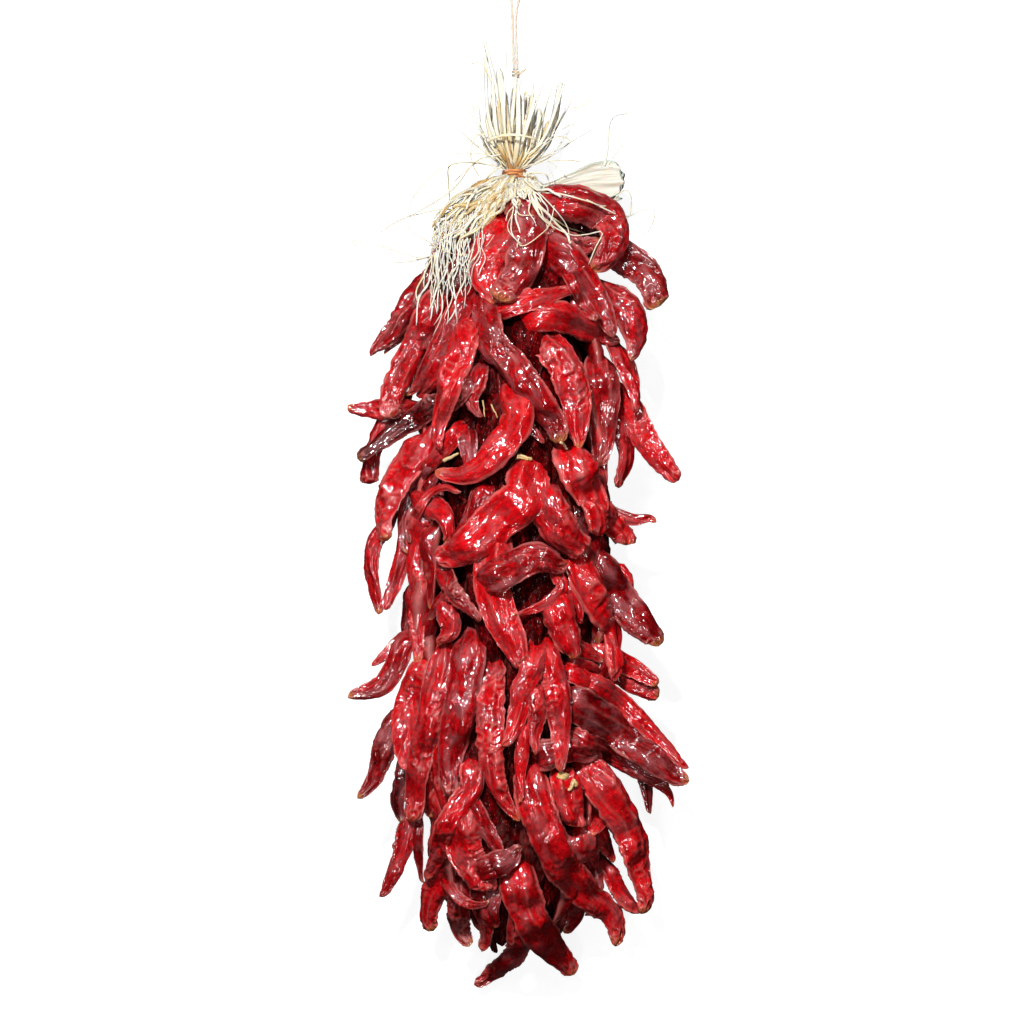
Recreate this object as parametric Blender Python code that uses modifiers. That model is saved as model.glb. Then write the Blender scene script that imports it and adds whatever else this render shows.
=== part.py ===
"""A string of dried chillies, lying on its back with the shown side up.

Dozens of dried pods hang in a dense bundle round one core cord, each overlapping the pod below
it like shingles. At the top a tie of twine gathers a sheaf of raffia: its cut ends stand up as a
tuft, the other ends fall over the upper pods, and one broad husk leaf sticks out beside it. A
loop of twine knotted to the tuft hangs the string up.

X runs across the string, Y along it from the lowest pod tip to the tuft, and Z up from the
surface it lies on. Lengths are in centimetres along the string; CM turns them into metres.
"""

import math
import random

import bmesh
import bpy
from mathutils import Vector

CM = 0.01
GAP = 0.03  # between neighbouring solids

# The bundle of pods
CORE_RADIUS = 10.2
CORE_MIDDLE = 40.0
CORE_HALF_LENGTH = 38.8
CORE_STATIONS = (1.6, 3.5, 7.0, 13.0, 22.0, 40.0, 56.0, 64.0, 70.0, 74.0, 76.4)
DEPTH_RATIO = 0.9  # the string is a little flatter than wide, from lying on its back
SINK = 0.7  # how far the core presses into its flat resting strip
NECK_LIFT = 4.2
TIERS = 13
PODS_PER_TIER = 9
POD_LENGTH = 13.5
POD_WIDTH = 3.1
SHOWN_RELIEF = 2.4  # how far the pods of the shown side pile up over each other
POD_SHAPE = ((0.0, 0.42), (0.12, 0.92), (0.32, 1.0), (0.66, 0.74), (0.88, 0.42), (1.0, 0.16))
VOXEL = 0.38
BUNDLE_TRIANGLES = 6500

# Pods that stand out past the bundle and make its outline: the points of the spine from root
# to tip, the width, and how far the pod is raised above the bundle's own side.
OUTLINE_PODS = (
    (((4.8, 76.6), (7.2, 76.0), (9.4, 74.7), (10.0, 72.8), (9.0, 71.0)), 2.8, 3.4),
    (((8.6, 70.6), (10.8, 70.6), (12.2, 68.9), (13.2, 67.2)), 3.0, 1.0),
    (((9.0, 67.6), (11.4, 65.6), (11.5, 61.4)), 3.0, 2.5),
    (((10.0, 62.3), (11.4, 59.5), (11.8, 56.4)), 2.2, 1.5),
    (((9.6, 58.0), (12.0, 55.0), (14.0, 52.0), (16.0, 49.6)), 2.5, 0.0),
    (((9.6, 47.6), (11.5, 46.0), (13.6, 45.6)), 1.5, 0.0),
    (((8.0, 41.6), (10.6, 37.9), (14.2, 34.0)), 2.6, 2.0),
    (((9.0, 33.0), (11.6, 31.2), (14.2, 29.2)), 2.2, 0.0),
    (((8.6, 29.5), (12.2, 26.4), (16.6, 21.8)), 2.0, 3.0),
    (((6.6, 27.8), (11.0, 24.8), (16.8, 20.6)), 3.4, 1.0),
    (((8.0, 21.0), (11.2, 15.5), (12.8, 9.6), (12.6, 7.8)), 3.6, 2.0),
    (((11.6, 21.8), (13.4, 19.5), (15.4, 18.2)), 2.0, -2.0),
    (((3.8, 15.0), (7.4, 9.4), (10.0, 6.6), (10.4, 4.6)), 3.2, 3.0),
    (((8.6, 12.0), (10.8, 9.2), (12.8, 8.2)), 2.2, -1.0),
    (((0.6, 11.0), (2.0, 6.8), (6.0, 1.6)), 3.4, 1.5),
    (((1.0, 7.0), (0.0, 3.2), (-3.5, 0.3)), 2.0, 0.0),
    (((-4.4, 10.0), (-3.4, 7.5), (-3.1, 4.8)), 2.6, 0.0),
    (((-6.0, 13.5), (-7.6, 9.4), (-8.1, 6.0)), 2.6, 0.5),
    (((-8.2, 16.5), (-10.6, 13.0), (-12.6, 9.3)), 2.2, -0.5),
    (((-8.6, 26.0), (-9.4, 21.0), (-9.4, 16.9)), 2.6, 2.0),
    (((-9.0, 23.0), (-11.0, 19.6), (-10.8, 16.8)), 2.2, 0.0),
    (((-9.6, 26.8), (-12.6, 22.6), (-14.9, 18.9)), 2.3, -0.5),
    (((-9.0, 34.4), (-11.6, 30.8), (-15.8, 28.9)), 2.2, 0.5),
    (((-8.6, 36.4), (-11.4, 33.6), (-13.6, 31.8)), 1.8, -1.0),
    (((-11.0, 45.6), (-13.2, 41.0), (-12.5, 36.8)), 1.7, 0.5),
    (((-8.6, 52.6), (-11.6, 48.6), (-12.2, 44.0)), 3.4, 1.5),
    (((-9.6, 57.6), (-13.0, 54.0), (-14.0, 49.6)), 2.0, -0.5),
    (((-8.4, 57.2), (-11.6, 54.4), (-14.8, 51.8)), 2.1, 1.5),
    (((-9.0, 56.6), (-12.4, 56.4), (-15.9, 56.6)), 2.0, 0.0),
    (((-7.4, 67.0), (-10.4, 61.4), (-11.8, 56.0)), 2.9, 2.0),
    (((-7.4, 68.6), (-10.6, 65.6), (-13.8, 62.1)), 2.4, 0.0),
)

# The raffia: the neck's radius at each place along it, and where each stalk of the tuft ends
NECK = (0.1, 79.5)
NECK_RADIUS = 0.98
NECK_STATIONS = (
    (77.0, 1.9),
    (78.4, 1.15),
    (78.9, NECK_RADIUS),
    (79.5, NECK_RADIUS),
    (80.1, NECK_RADIUS),
    (80.6, 1.05),
    (82.2, 1.3),
    (84.0, 0.9),
)
NECK_FOOT = (75.4, 2.3)
NECK_FALL = 0.16  # how much the sheaf drops for each centimetre above the tie
NECK_TOP = 80.6
TUFT_ENDS = (
    (-4.4, 86.2, 2.4),
    (-3.0, 88.0, 0.6),
    (-2.8, 93.0, 1.6),
    (-1.9, 89.6, 3.0),
    (-0.8, 91.9, 1.0),
    (-0.9, 88.4, 2.6),
    (0.25, 88.9, 1.3),
    (1.2, 87.6, 3.0),
    (2.3, 88.4, 0.6),
    (3.4, 88.6, 2.2),
    (5.0, 88.4, 1.2),
    (4.2, 86.6, 3.2),
    (6.1, 87.7, 2.0),
    (5.2, 84.6, 0.6),
)
STALK_WIDTH = 0.75
STALK_THICKNESS = 0.32
# Where the ends that fall over the pods run: through one point to the other, both (x, y, z)
SKIRT_ENDS = (
    ((-3.4, 77.2, 7.6), (-6.2, 73.2, 11.4)),
    ((-2.6, 77.0, 8.6), (-4.6, 72.8, 13.0)),
    ((-1.8, 77.0, 9.2), (-2.9, 73.0, 14.0)),
    ((-0.8, 77.0, 9.4), (-1.4, 74.4, 13.0)),
    ((0.6, 77.2, 9.2), (0.8, 75.2, 12.2)),
    ((1.9, 77.2, 8.8), (3.2, 74.8, 12.4)),
)
SKIRT_WIDTH = 1.5
SKIRT_THICKNESS = 0.5

# The tie: turns of twine round the neck of the sheaf
TIE_TURNS = 3
TIE_TWINE = 0.28
TIE_CLEARANCE = 0.03  # for the flat sides of the turned neck

# The husk leaf
LEAF_ROOT = (1.8, 78.3, 4.5)
LEAF_END = (10.2, 79.3, 4.6)
LEAF_ROOT_WIDTH = 0.5
LEAF_END_WIDTH = 3.2
LEAF_THICKNESS = 0.1

# The hanging cord: a doubled twine from its knot, down to the surface and along it
CORD_DIAMETER = 0.25
KNOT = (0.25, 89.45, 1.3)
KNOT_RADIUS = 0.45
CORD_ROUTE = (
    (0.10, 89.90, 1.30),
    (0.04, 90.90, 1.02),
    (0.00, 92.10, 0.46),
    (-0.04, 93.40, 0.15),
    (-0.06, 95.20, 0.13),
    (-0.18, 96.80, 0.13),
    (-0.48, 98.00, 0.13),
    (-0.42, 99.00, 0.13),
    (0.25, 99.50, 0.13),
    (0.92, 99.00, 0.13),
    (0.98, 98.00, 0.13),
    (0.56, 96.80, 0.13),
    (0.30, 95.20, 0.13),
    (0.29, 93.40, 0.15),
    (0.32, 92.10, 0.46),
    (0.36, 90.90, 1.02),
    (0.40, 89.90, 1.30),
)
CORD_STEP = 0.62

random.seed(7)

for old in list(bpy.data.objects):
    bpy.data.objects.remove(old, do_unlink=True)

PARTS = bpy.data.collections.new("dried_chilli_string")
CUTTERS = bpy.data.collections.new("cutters")
for collection in (PARTS, CUTTERS):
    bpy.context.scene.collection.children.link(collection)


def material(name, colour, roughness):
    made = bpy.data.materials.new(name)
    made.use_nodes = True
    shader = made.node_tree.nodes["Principled BSDF"]
    shader.inputs["Base Color"].default_value = (*colour, 1.0)
    shader.inputs["Roughness"].default_value = roughness
    shader.inputs["Metallic"].default_value = 0.0
    return made


def core_radius(y):
    """Radius of the packed bundle at y: a long barrel with rounded ends."""
    along = min(abs(y - CORE_MIDDLE) / CORE_HALF_LENGTH, 1.0)
    return CORE_RADIUS * (1.0 - along**3.5) ** 0.588


def axis_height(y):
    """Height of the string's axis: the bundle lies on its back and the neck droops towards the surface."""
    height = DEPTH_RATIO * core_radius(y) - SINK
    return max(height, NECK_LIFT) if y > CORE_MIDDLE else max(height, 1.2)


def mesh_from_curve(curve_object):
    """Turns a curve object into a closed mesh object of the same name, with its caps welded."""
    graph = bpy.context.evaluated_depsgraph_get()
    mesh = bpy.data.meshes.new_from_object(curve_object.evaluated_get(graph))
    closed = bmesh.new()
    closed.from_mesh(mesh)
    bmesh.ops.remove_doubles(closed, verts=closed.verts, dist=0.00001)
    bmesh.ops.recalc_face_normals(closed, faces=closed.faces)
    closed.to_mesh(mesh)
    closed.free()
    name = curve_object.name
    bpy.data.objects.remove(curve_object, do_unlink=True)
    made = bpy.data.objects.new(name, mesh)
    PARTS.objects.link(made)
    return made


def new_curve(name, bevel_resolution):
    data = bpy.data.curves.new(name, "CURVE")
    data.dimensions = "3D"
    data.bevel_resolution = bevel_resolution
    data.use_fill_caps = True
    made = bpy.data.objects.new(name, data)
    PARTS.objects.link(made)
    return made


def add_spline(curve_object, points, radii, resolution):
    """One smooth bevelled run through the points (cm), with a radius factor at each."""
    curve_object.data.resolution_u = resolution
    spline = curve_object.data.splines.new("BEZIER")
    spline.bezier_points.add(len(points) - 1)
    for knot, point, radius in zip(spline.bezier_points, points, radii):
        knot.co = Vector(point) * CM
        knot.radius = radius
        knot.handle_left_type = "AUTO"
        knot.handle_right_type = "AUTO"


def along_spine(spine, share):
    """The point at this share of the way along a list of spine points, by straight runs."""
    place = share * (len(spine) - 1)
    index = min(int(place), len(spine) - 2)
    return Vector(spine[index]).lerp(Vector(spine[index + 1]), place - index)


def add_pod(curve_object, spine, width):
    """One dried pod: a quick shoulder at the stem end, then a long taper to the tip."""
    points = [along_spine(spine, share) for share, _ in POD_SHAPE]
    radii = [0.5 * width * size for _, size in POD_SHAPE]
    add_spline(curve_object, points, radii, 2)


def tier_pod(tier, turn):
    """Spine of a pod in the packed bundle: it hangs down the string and flares a little outwards."""
    root_y = 74.0 - tier * 4.9 + random.uniform(-1.6, 1.6)
    angle = 2.0 * math.pi * (turn + 0.5 * (tier % 2) + random.uniform(-0.3, 0.3)) / PODS_PER_TIER
    length = POD_LENGTH * random.uniform(0.8, 1.1)
    sway = random.uniform(-0.35, 0.35)
    lift = random.uniform(0.0, SHOWN_RELIEF) * max(math.cos(angle), 0.0)
    spine = []
    for share in (0.0, 0.3, 0.6, 1.0):
        y = max(root_y - length * share, 2.2)
        reach = core_radius(y) - 0.6 + 1.3 * share + lift
        around = angle + sway * share
        height = axis_height(y) + DEPTH_RATIO * reach * math.cos(around)
        spine.append((reach * math.sin(around), y, max(height, 0.9)))
    return spine


def outline_spine(points, rise):
    """Spine of a hand-placed pod: its places across and along the string, laid on the bundle's side."""
    spine = []
    for x, y in points:
        front = math.sqrt(max(core_radius(y) ** 2 - x * x, 0.0))
        spine.append((x, y, axis_height(y) + DEPTH_RATIO * front + rise))
    return spine


def join(objects, name):
    with bpy.context.temp_override(active_object=objects[0], selected_editable_objects=objects):
        bpy.ops.object.join()
    objects[0].name = name
    return objects[0]


def apply_modifiers(target):
    """Replaces the object's mesh with its evaluated one and returns it."""
    graph = bpy.context.evaluated_depsgraph_get()
    mesh = bpy.data.meshes.new_from_object(target.evaluated_get(graph))
    target.modifiers.clear()
    target.data = mesh
    return target


def boolean(target, other, operation, own_overlaps=False):
    modifier = target.modifiers.new(operation.lower(), "BOOLEAN")
    modifier.operation = operation
    modifier.solver = "EXACT"
    modifier.use_self = own_overlaps
    modifier.object = other
    other.hide_render = True
    other.display_type = "WIRE"
    if other.name in PARTS.objects:
        PARTS.objects.unlink(other)
        CUTTERS.objects.link(other)
    return modifier


def new_primitive(name):
    """Names the primitive that was just added and moves it into the parts' collection."""
    made = bpy.context.object
    made.name = name
    for owner in list(made.users_collection):
        owner.objects.unlink(made)
    PARTS.objects.link(made)
    return made


def box(name, low, high):
    bpy.ops.mesh.primitive_cube_add(size=1.0)
    made = new_primitive(name)
    low = Vector(low) * CM
    high = Vector(high) * CM
    made.location = (low + high) / 2.0
    made.scale = high - low
    return made


def make_bundle():
    """All pods and their core in one solid, out to the uneven outline, flat where it rests."""
    core = new_curve("core", 6)
    core.data.bevel_depth = CM
    add_spline(core, [(0.0, y, 0.0) for y in CORE_STATIONS], [core_radius(y) for y in CORE_STATIONS], 3)
    core = mesh_from_curve(core)
    for vertex in core.data.vertices:
        vertex.co.z = DEPTH_RATIO * vertex.co.z + axis_height(vertex.co.y / CM) * CM
    pods = new_curve("pods", 2)
    pods.data.bevel_depth = CM
    for tier in range(TIERS):
        for turn in range(PODS_PER_TIER):
            add_pod(pods, tier_pod(tier, turn), POD_WIDTH * random.uniform(0.75, 1.15))
    for points, width, rise in OUTLINE_PODS:
        add_pod(pods, outline_spine(points, rise), width)
    pods = mesh_from_curve(pods)
    bundle = join([core, pods], "chilli_bundle")
    remesh = bundle.modifiers.new("one skin", "REMESH")
    remesh.mode = "VOXEL"
    remesh.voxel_size = VOXEL * CM
    apply_modifiers(bundle)
    bundle.data.calc_loop_triangles()
    decimate = bundle.modifiers.new("facets", "DECIMATE")
    decimate.ratio = BUNDLE_TRIANGLES / len(bundle.data.loop_triangles)
    apply_modifiers(bundle)
    below = box("below", (-30.0, -10.0, -20.0), (30.0, 100.0, 0.0))
    boolean(bundle, below, "DIFFERENCE")
    apply_modifiers(bundle)
    bundle.data.materials.clear()
    bundle.data.materials.append(material("dried_chilli", (0.33, 0.012, 0.016), 0.35))
    return bundle


def stalk(name, points, width, thickness):
    """A flat strip of raffia along the points, its broad side facing up."""
    made = new_curve(name, 0)
    made.data.twist_mode = "Z_UP"
    made.data.extrude = (width - thickness) / 2.0 * CM
    made.data.bevel_depth = thickness / 2.0 * CM
    add_spline(made, points, [1.0] * len(points), 2)
    for knot in made.data.splines[0].bezier_points:
        knot.tilt = math.pi / 2.0
    return mesh_from_curve(made)


def make_raffia(extra):
    """The sheaf: a neck through the tie, stalks fanned above it and strips fallen below it.

    extra widens everything, for the copy that cuts room for the sheaf out of the bundle.
    """
    neck_x, _ = NECK
    sheaf = new_curve("raffia", 4)
    sheaf.data.bevel_depth = CM
    foot_y, foot_radius = NECK_FOOT
    spine = [(neck_x, foot_y - extra, NECK_LIFT + 0.8)]
    spine += [(neck_x, y, NECK_LIFT - NECK_FALL * max(y - NECK_TOP, 0.0)) for y, _ in NECK_STATIONS]
    radii = [foot_radius + extra] + [radius + extra for _, radius in NECK_STATIONS]
    add_spline(sheaf, spine, radii, 2)
    pieces = [mesh_from_curve(sheaf)]
    for index, (x, y, z) in enumerate(TUFT_ENDS):
        start = (neck_x + 0.08 * (x - neck_x), 80.7, NECK_LIFT - 0.1 + 0.2 * (z - 1.8))
        middle = (neck_x + 0.42 * (x - neck_x), 83.6, 3.1 + 0.5 * (z - 1.8))
        points = (start, middle, (x, y, z))
        pieces.append(stalk(f"stalk_{index}", points, STALK_WIDTH + extra, STALK_THICKNESS + extra))
    for index, (through, end) in enumerate(SKIRT_ENDS):
        start = (neck_x + 0.1 * through[0], 78.4, NECK_LIFT + 0.6)
        beyond = Vector(end) + (Vector(end) - Vector(through)).normalized() * extra
        points = (start, through, beyond)
        width, thickness = SKIRT_WIDTH + extra, SKIRT_THICKNESS + extra
        pieces.append(stalk(f"skirt_{index}", points, width, thickness))
    raffia = pieces[0]
    strips = join(pieces[1:], "strips")
    boolean(raffia, strips, "UNION", own_overlaps=True)
    apply_modifiers(raffia)
    raffia.data.materials.clear()
    raffia.data.materials.append(material("raffia", (0.86, 0.74, 0.52), 0.7))
    return raffia


def make_tie():
    """Turns of twine round the neck, side by side, joined where they touch."""
    neck_x, neck_y = NECK
    ring_radius = NECK_RADIUS + GAP + TIE_TWINE / 2.0 + TIE_CLEARANCE
    turns = []
    for turn in range(TIE_TURNS):
        bpy.ops.mesh.primitive_torus_add(
            major_radius=ring_radius * CM,
            minor_radius=TIE_TWINE / 2.0 * CM,
            major_segments=20,
            minor_segments=6,
        )
        ring = new_primitive(f"turn_{turn}")
        ring.rotation_euler = (math.pi / 2.0, 0.0, 0.0)
        offset = (turn - (TIE_TURNS - 1) / 2.0) * TIE_TWINE * 0.8
        ring.location = Vector((neck_x, neck_y + offset, axis_height(neck_y))) * CM
        turns.append(ring)
    tie = turns[0]
    for other in turns[1:]:
        boolean(tie, other, "UNION")
    apply_modifiers(tie)
    tie.name = "tie"
    tie.data.materials.append(material("tie_twine", (0.52, 0.2, 0.05), 0.8))
    return tie


def make_leaf():
    """One broad husk leaf: a thin blade that widens to a ragged end and cups slightly."""
    bpy.ops.mesh.primitive_grid_add(x_subdivisions=7, y_subdivisions=4, size=2.0)
    leaf = new_primitive("husk_leaf")
    root = Vector(LEAF_ROOT)
    run = Vector(LEAF_END) - root
    side = Vector((-run.y, run.x, 0.0)).normalized()
    for vertex in leaf.data.vertices:
        along = 0.5 * (vertex.co.x + 1.0)
        across = vertex.co.y
        width = LEAF_ROOT_WIDTH + (LEAF_END_WIDTH - LEAF_ROOT_WIDTH) * along**0.8
        cup = 0.35 * across * across * along - 0.25 * math.sin(math.pi * along)
        place = root + run * along + side * (0.5 * width * across)
        vertex.co = (place + Vector((0.0, 0.0, cup))) * CM
    solidify = leaf.modifiers.new("thickness", "SOLIDIFY")
    solidify.thickness = LEAF_THICKNESS * CM
    solidify.offset = 0.0
    leaf.data.materials.append(material("husk", (0.88, 0.8, 0.66), 0.6))
    return leaf


def smooth_route(points, step):
    """Points every step along a smooth curve through the route's own points."""
    fine = []
    ends = [points[0], *points, points[-1]]
    for before, start, end, after in zip(ends, ends[1:], ends[2:], ends[3:]):
        p0, p1, p2, p3 = (Vector(point) for point in (before, start, end, after))
        for share in (k / 12.0 for k in range(12)):
            fine.append(
                0.5
                * (
                    2.0 * p1
                    + (p2 - p0) * share
                    + (2.0 * p0 - 5.0 * p1 + 4.0 * p2 - p3) * share**2
                    + (3.0 * p1 - p0 - 3.0 * p2 + p3) * share**3
                )
            )
    fine.append(Vector(points[-1]))
    total = sum((b - a).length for a, b in zip(fine, fine[1:]))
    count = round(total / step)
    kept = [fine[0]]
    travelled = 0.0
    for a, b in zip(fine, fine[1:]):
        travelled += (b - a).length
        if travelled >= total / count * len(kept) and len(kept) < count:
            kept.append(b)
    return [*kept, fine[-1]]


def make_cord():
    """The loop of twine that hangs the string, as one tube from the knot and back to it."""
    route = smooth_route(CORD_ROUTE, CORD_STEP)
    data = bpy.data.curves.new("hanging_cord", "CURVE")
    data.dimensions = "3D"
    data.bevel_depth = CORD_DIAMETER / 2.0 * CM
    data.bevel_resolution = 2
    data.use_fill_caps = True
    spline = data.splines.new("POLY")
    spline.points.add(len(route) - 1)
    for knot, point in zip(spline.points, route):
        knot.co = (*(point * CM), 1.0)
    cord = bpy.data.objects.new("hanging_cord", data)
    PARTS.objects.link(cord)
    data.materials.append(material("cord_twine", (0.72, 0.6, 0.46), 0.85))
    return cord


def make_knot():
    """The knot that ties the cord's loop to the tuft."""
    bpy.ops.mesh.primitive_uv_sphere_add(segments=12, ring_count=7, radius=KNOT_RADIUS * CM)
    knot = new_primitive("cord_knot")
    knot.location = Vector(KNOT) * CM
    knot.data.materials.append(material("knot_twine", (0.62, 0.42, 0.2), 0.85))
    return knot


def make_room_for_raffia(bundle):
    """Cuts the sheaf's own shape, widened by the gap, out of the bundle."""
    cutter = make_raffia(2.0 * GAP)
    cutter.name = "room_for_raffia"
    boolean(bundle, cutter, "DIFFERENCE", own_overlaps=True)
    apply_modifiers(bundle)


def drop_crumbs(target):
    """Keeps the largest shell of the mesh and deletes any crumb that a cut left loose."""
    mesh = bmesh.new()
    mesh.from_mesh(target.data)
    unseen = set(mesh.verts)
    shells = []
    while unseen:
        edge_of_shell = [unseen.pop()]
        shell = set(edge_of_shell)
        while edge_of_shell:
            vertex = edge_of_shell.pop()
            for link in vertex.link_edges:
                other = link.other_vert(vertex)
                if other in unseen:
                    unseen.discard(other)
                    shell.add(other)
                    edge_of_shell.append(other)
        shells.append(shell)
    shells.sort(key=len)
    for shell in shells[:-1]:
        bmesh.ops.delete(mesh, geom=list(shell), context="VERTS")
    mesh.to_mesh(target.data)
    mesh.free()


def centre_on_origin(nodes, cord_parts):
    """Moves everything so that the box of the nodes stands on the origin by its bottom centre."""
    bpy.context.view_layer.update()
    graph = bpy.context.evaluated_depsgraph_get()
    corners = []
    for node in nodes:
        for vertex in node.evaluated_get(graph).to_mesh().vertices:
            corners.append(node.matrix_world @ vertex.co)
    low = [min(corner[axis] for corner in corners) for axis in range(3)]
    high = [max(corner[axis] for corner in corners) for axis in range(3)]
    shift = Vector((-(low[0] + high[0]) / 2.0, -(low[1] + high[1]) / 2.0, -low[2]))
    for node in [*nodes, *cord_parts]:
        node.location += shift


bundle = make_bundle()
make_room_for_raffia(bundle)
drop_crumbs(bundle)
raffia = make_raffia(0.0)
centre_on_origin([bundle, raffia, make_tie(), make_leaf()], [make_cord(), make_knot()])
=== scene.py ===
"""The looks of a string of dried chillies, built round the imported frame.

The string lies on its back on a pale floor and the camera looks down on its shown side. Places on
it are written in centimetres: x across the string from its axis, y along it from the lowest pod
tip, z up from the floor.
"""

import itertools

import bpy
import numpy as np
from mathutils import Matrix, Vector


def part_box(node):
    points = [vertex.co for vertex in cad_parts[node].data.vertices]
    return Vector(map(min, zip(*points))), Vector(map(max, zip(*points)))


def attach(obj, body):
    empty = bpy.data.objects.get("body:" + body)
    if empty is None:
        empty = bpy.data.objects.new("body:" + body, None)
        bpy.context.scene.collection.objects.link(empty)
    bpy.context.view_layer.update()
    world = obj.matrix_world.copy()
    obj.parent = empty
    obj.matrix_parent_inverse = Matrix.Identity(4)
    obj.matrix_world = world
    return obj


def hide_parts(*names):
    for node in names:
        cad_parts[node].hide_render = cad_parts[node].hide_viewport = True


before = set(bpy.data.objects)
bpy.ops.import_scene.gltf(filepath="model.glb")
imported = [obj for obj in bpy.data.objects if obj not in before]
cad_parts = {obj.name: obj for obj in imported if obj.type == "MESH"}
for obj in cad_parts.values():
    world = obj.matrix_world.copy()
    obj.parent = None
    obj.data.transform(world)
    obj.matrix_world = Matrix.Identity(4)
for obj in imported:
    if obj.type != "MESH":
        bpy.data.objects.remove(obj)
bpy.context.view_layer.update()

# --- The string's own measure and the camera -------------------------------------------------
# The tie sits 1 mm right of the string's axis and 79.5 cm above its lowest tip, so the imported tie
# gives the place of everything else. The camera hangs high over the string with a long lens and
# takes in 98.3 cm of it, as one that stands in front of the hanging string does.

CM = 0.01
TIE_PLACE = (0.1, 79.5)
VIEW_SPAN = 98.3
VIEW_CENTRE = (-0.1, 46.6)
VIEW_LEVEL = 14.0
CAMERA_DISTANCE = 640.0

tie_low, tie_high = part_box("tie")
string_origin = np.array(
    [
        0.5 * (tie_low.x + tie_high.x) - TIE_PLACE[0] * CM,
        0.5 * (tie_low.y + tie_high.y) - TIE_PLACE[1] * CM,
        0.0,
    ]
)


def in_frame(points):
    """Centimetres on the string to metres in the frame: a hundredth, plus the string's origin."""
    return np.asarray(points, float) * CM + string_origin


camera_data = bpy.data.cameras.new("camera")
camera_data.sensor_width = 36.0
camera_data.lens = 36.0 * CAMERA_DISTANCE / VIEW_SPAN
camera_data.clip_end = 30.0
camera = bpy.data.objects.new("camera", camera_data)
camera.location = in_frame((*VIEW_CENTRE, VIEW_LEVEL + CAMERA_DISTANCE))
bpy.context.scene.collection.objects.link(camera)
bpy.context.scene.camera = camera


# --- The hanging cord ------------------------------------------------------------------------
# A loop of plant-fibre twine of two twisted strands, knotted to the tuft. On a wall it would be
# drawn up tight to a hook just out of view; here it drops from the knot and lies along the floor.

TWINE_DIAMETER = 0.25
TWINE_LAY = 0.9  # length of one full twist
CORD_ROUTE = (
    (0.10, 89.90, 1.30),
    (0.04, 90.90, 1.02),
    (0.00, 92.10, 0.46),
    (-0.04, 93.40, 0.15),
    (-0.06, 95.20, 0.13),
    (-0.18, 96.80, 0.13),
    (-0.48, 98.00, 0.13),
    (-0.42, 99.00, 0.13),
    (0.25, 99.50, 0.13),
    (0.92, 99.00, 0.13),
    (0.98, 98.00, 0.13),
    (0.56, 96.80, 0.13),
    (0.30, 95.20, 0.13),
    (0.29, 93.40, 0.15),
    (0.32, 92.10, 0.46),
    (0.36, 90.90, 1.02),
    (0.40, 89.90, 1.30),
)


def along_curve(points, count):
    """Count points evenly spaced on a smooth curve, and its length.

    The curve is a Catmull-Rom cubic between each pair of points, read at equal shares of length.
    """
    points = np.asarray(points, float)
    ends = np.vstack([2 * points[0] - points[1], points, 2 * points[-1] - points[-2]])
    place = np.linspace(0, len(points) - 1, 24 * len(points) + 1)
    index = np.minimum(place.astype(int), len(points) - 2)
    share = (place - index)[:, None]
    p0, p1, p2, p3 = (ends[index + k] for k in range(4))
    fine = 0.5 * (
        2 * p1
        + (p2 - p0) * share
        + (2 * p0 - 5 * p1 + 4 * p2 - p3) * share**2
        + (3 * p1 - p0 - 3 * p2 + p3) * share**3
    )
    run = np.concatenate([[0], np.cumsum(np.linalg.norm(np.diff(fine, axis=0), axis=1))])
    at = np.linspace(0, run[-1], count)
    return np.stack([np.interp(at, run, fine[:, k]) for k in range(fine.shape[1])], 1), run[-1]


def unit(vectors):
    return vectors / np.maximum(np.linalg.norm(vectors, axis=-1, keepdims=True), 1e-9)


def frames_along(line, up):
    """Tangent, side and normal at each point of a line: the normal is up less its part along it."""
    tangent = unit(np.gradient(line, axis=-2))
    normal = unit(up - np.sum(up * tangent, axis=-1, keepdims=True) * tangent)
    return tangent, np.cross(tangent, normal), normal


def tube_faces(rows, columns):
    """Corners of a tube's faces in its grid, a row of quads between each two rows and a fan over
    each end, and the same corners in a grid that has one more column, at the seam."""
    row, column = np.meshgrid(np.arange(rows - 1), np.arange(columns), indexing="ij")
    ring = np.arange(columns)
    corners, seamed = [], []
    grids = ((corners, columns, (column + 1) % columns), (seamed, columns + 1, column + 1))
    for found, wide, after in grids:
        low, high = row * wide, (row + 1) * wide
        found.append(np.stack([low + column, low + after, high + after, high + column], -1).ravel())
    last = (rows - 1) * columns
    after = (ring + 1) % columns
    corners.append(np.stack([after, ring, 0 * ring + rows * columns], -1).ravel())
    corners.append(np.stack([last + ring, last + after, 0 * ring + rows * columns + 1], -1).ravel())
    last = (rows - 1) * (columns + 1)
    seamed.append(np.stack([ring + 1, ring, ring], -1).ravel())
    seamed.append(np.stack([last + ring, last + ring + 1, last + ring], -1).ravel())
    return np.concatenate(corners), np.concatenate(seamed)


def along_around(grid):
    """Distance along and around a tube for each grid point, in centimetres, with the seam twice."""
    along = np.linalg.norm(np.diff(grid.mean(axis=1), axis=0), axis=-1)
    along = np.concatenate([[0], np.cumsum(along)])
    ring = np.concatenate([grid, grid[:, :1]], axis=1)[len(grid) // 2]
    around = np.concatenate([[0], np.cumsum(np.linalg.norm(np.diff(ring, axis=0), axis=-1))])
    return np.stack(np.meshgrid(along, around, indexing="ij"), -1)


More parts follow.
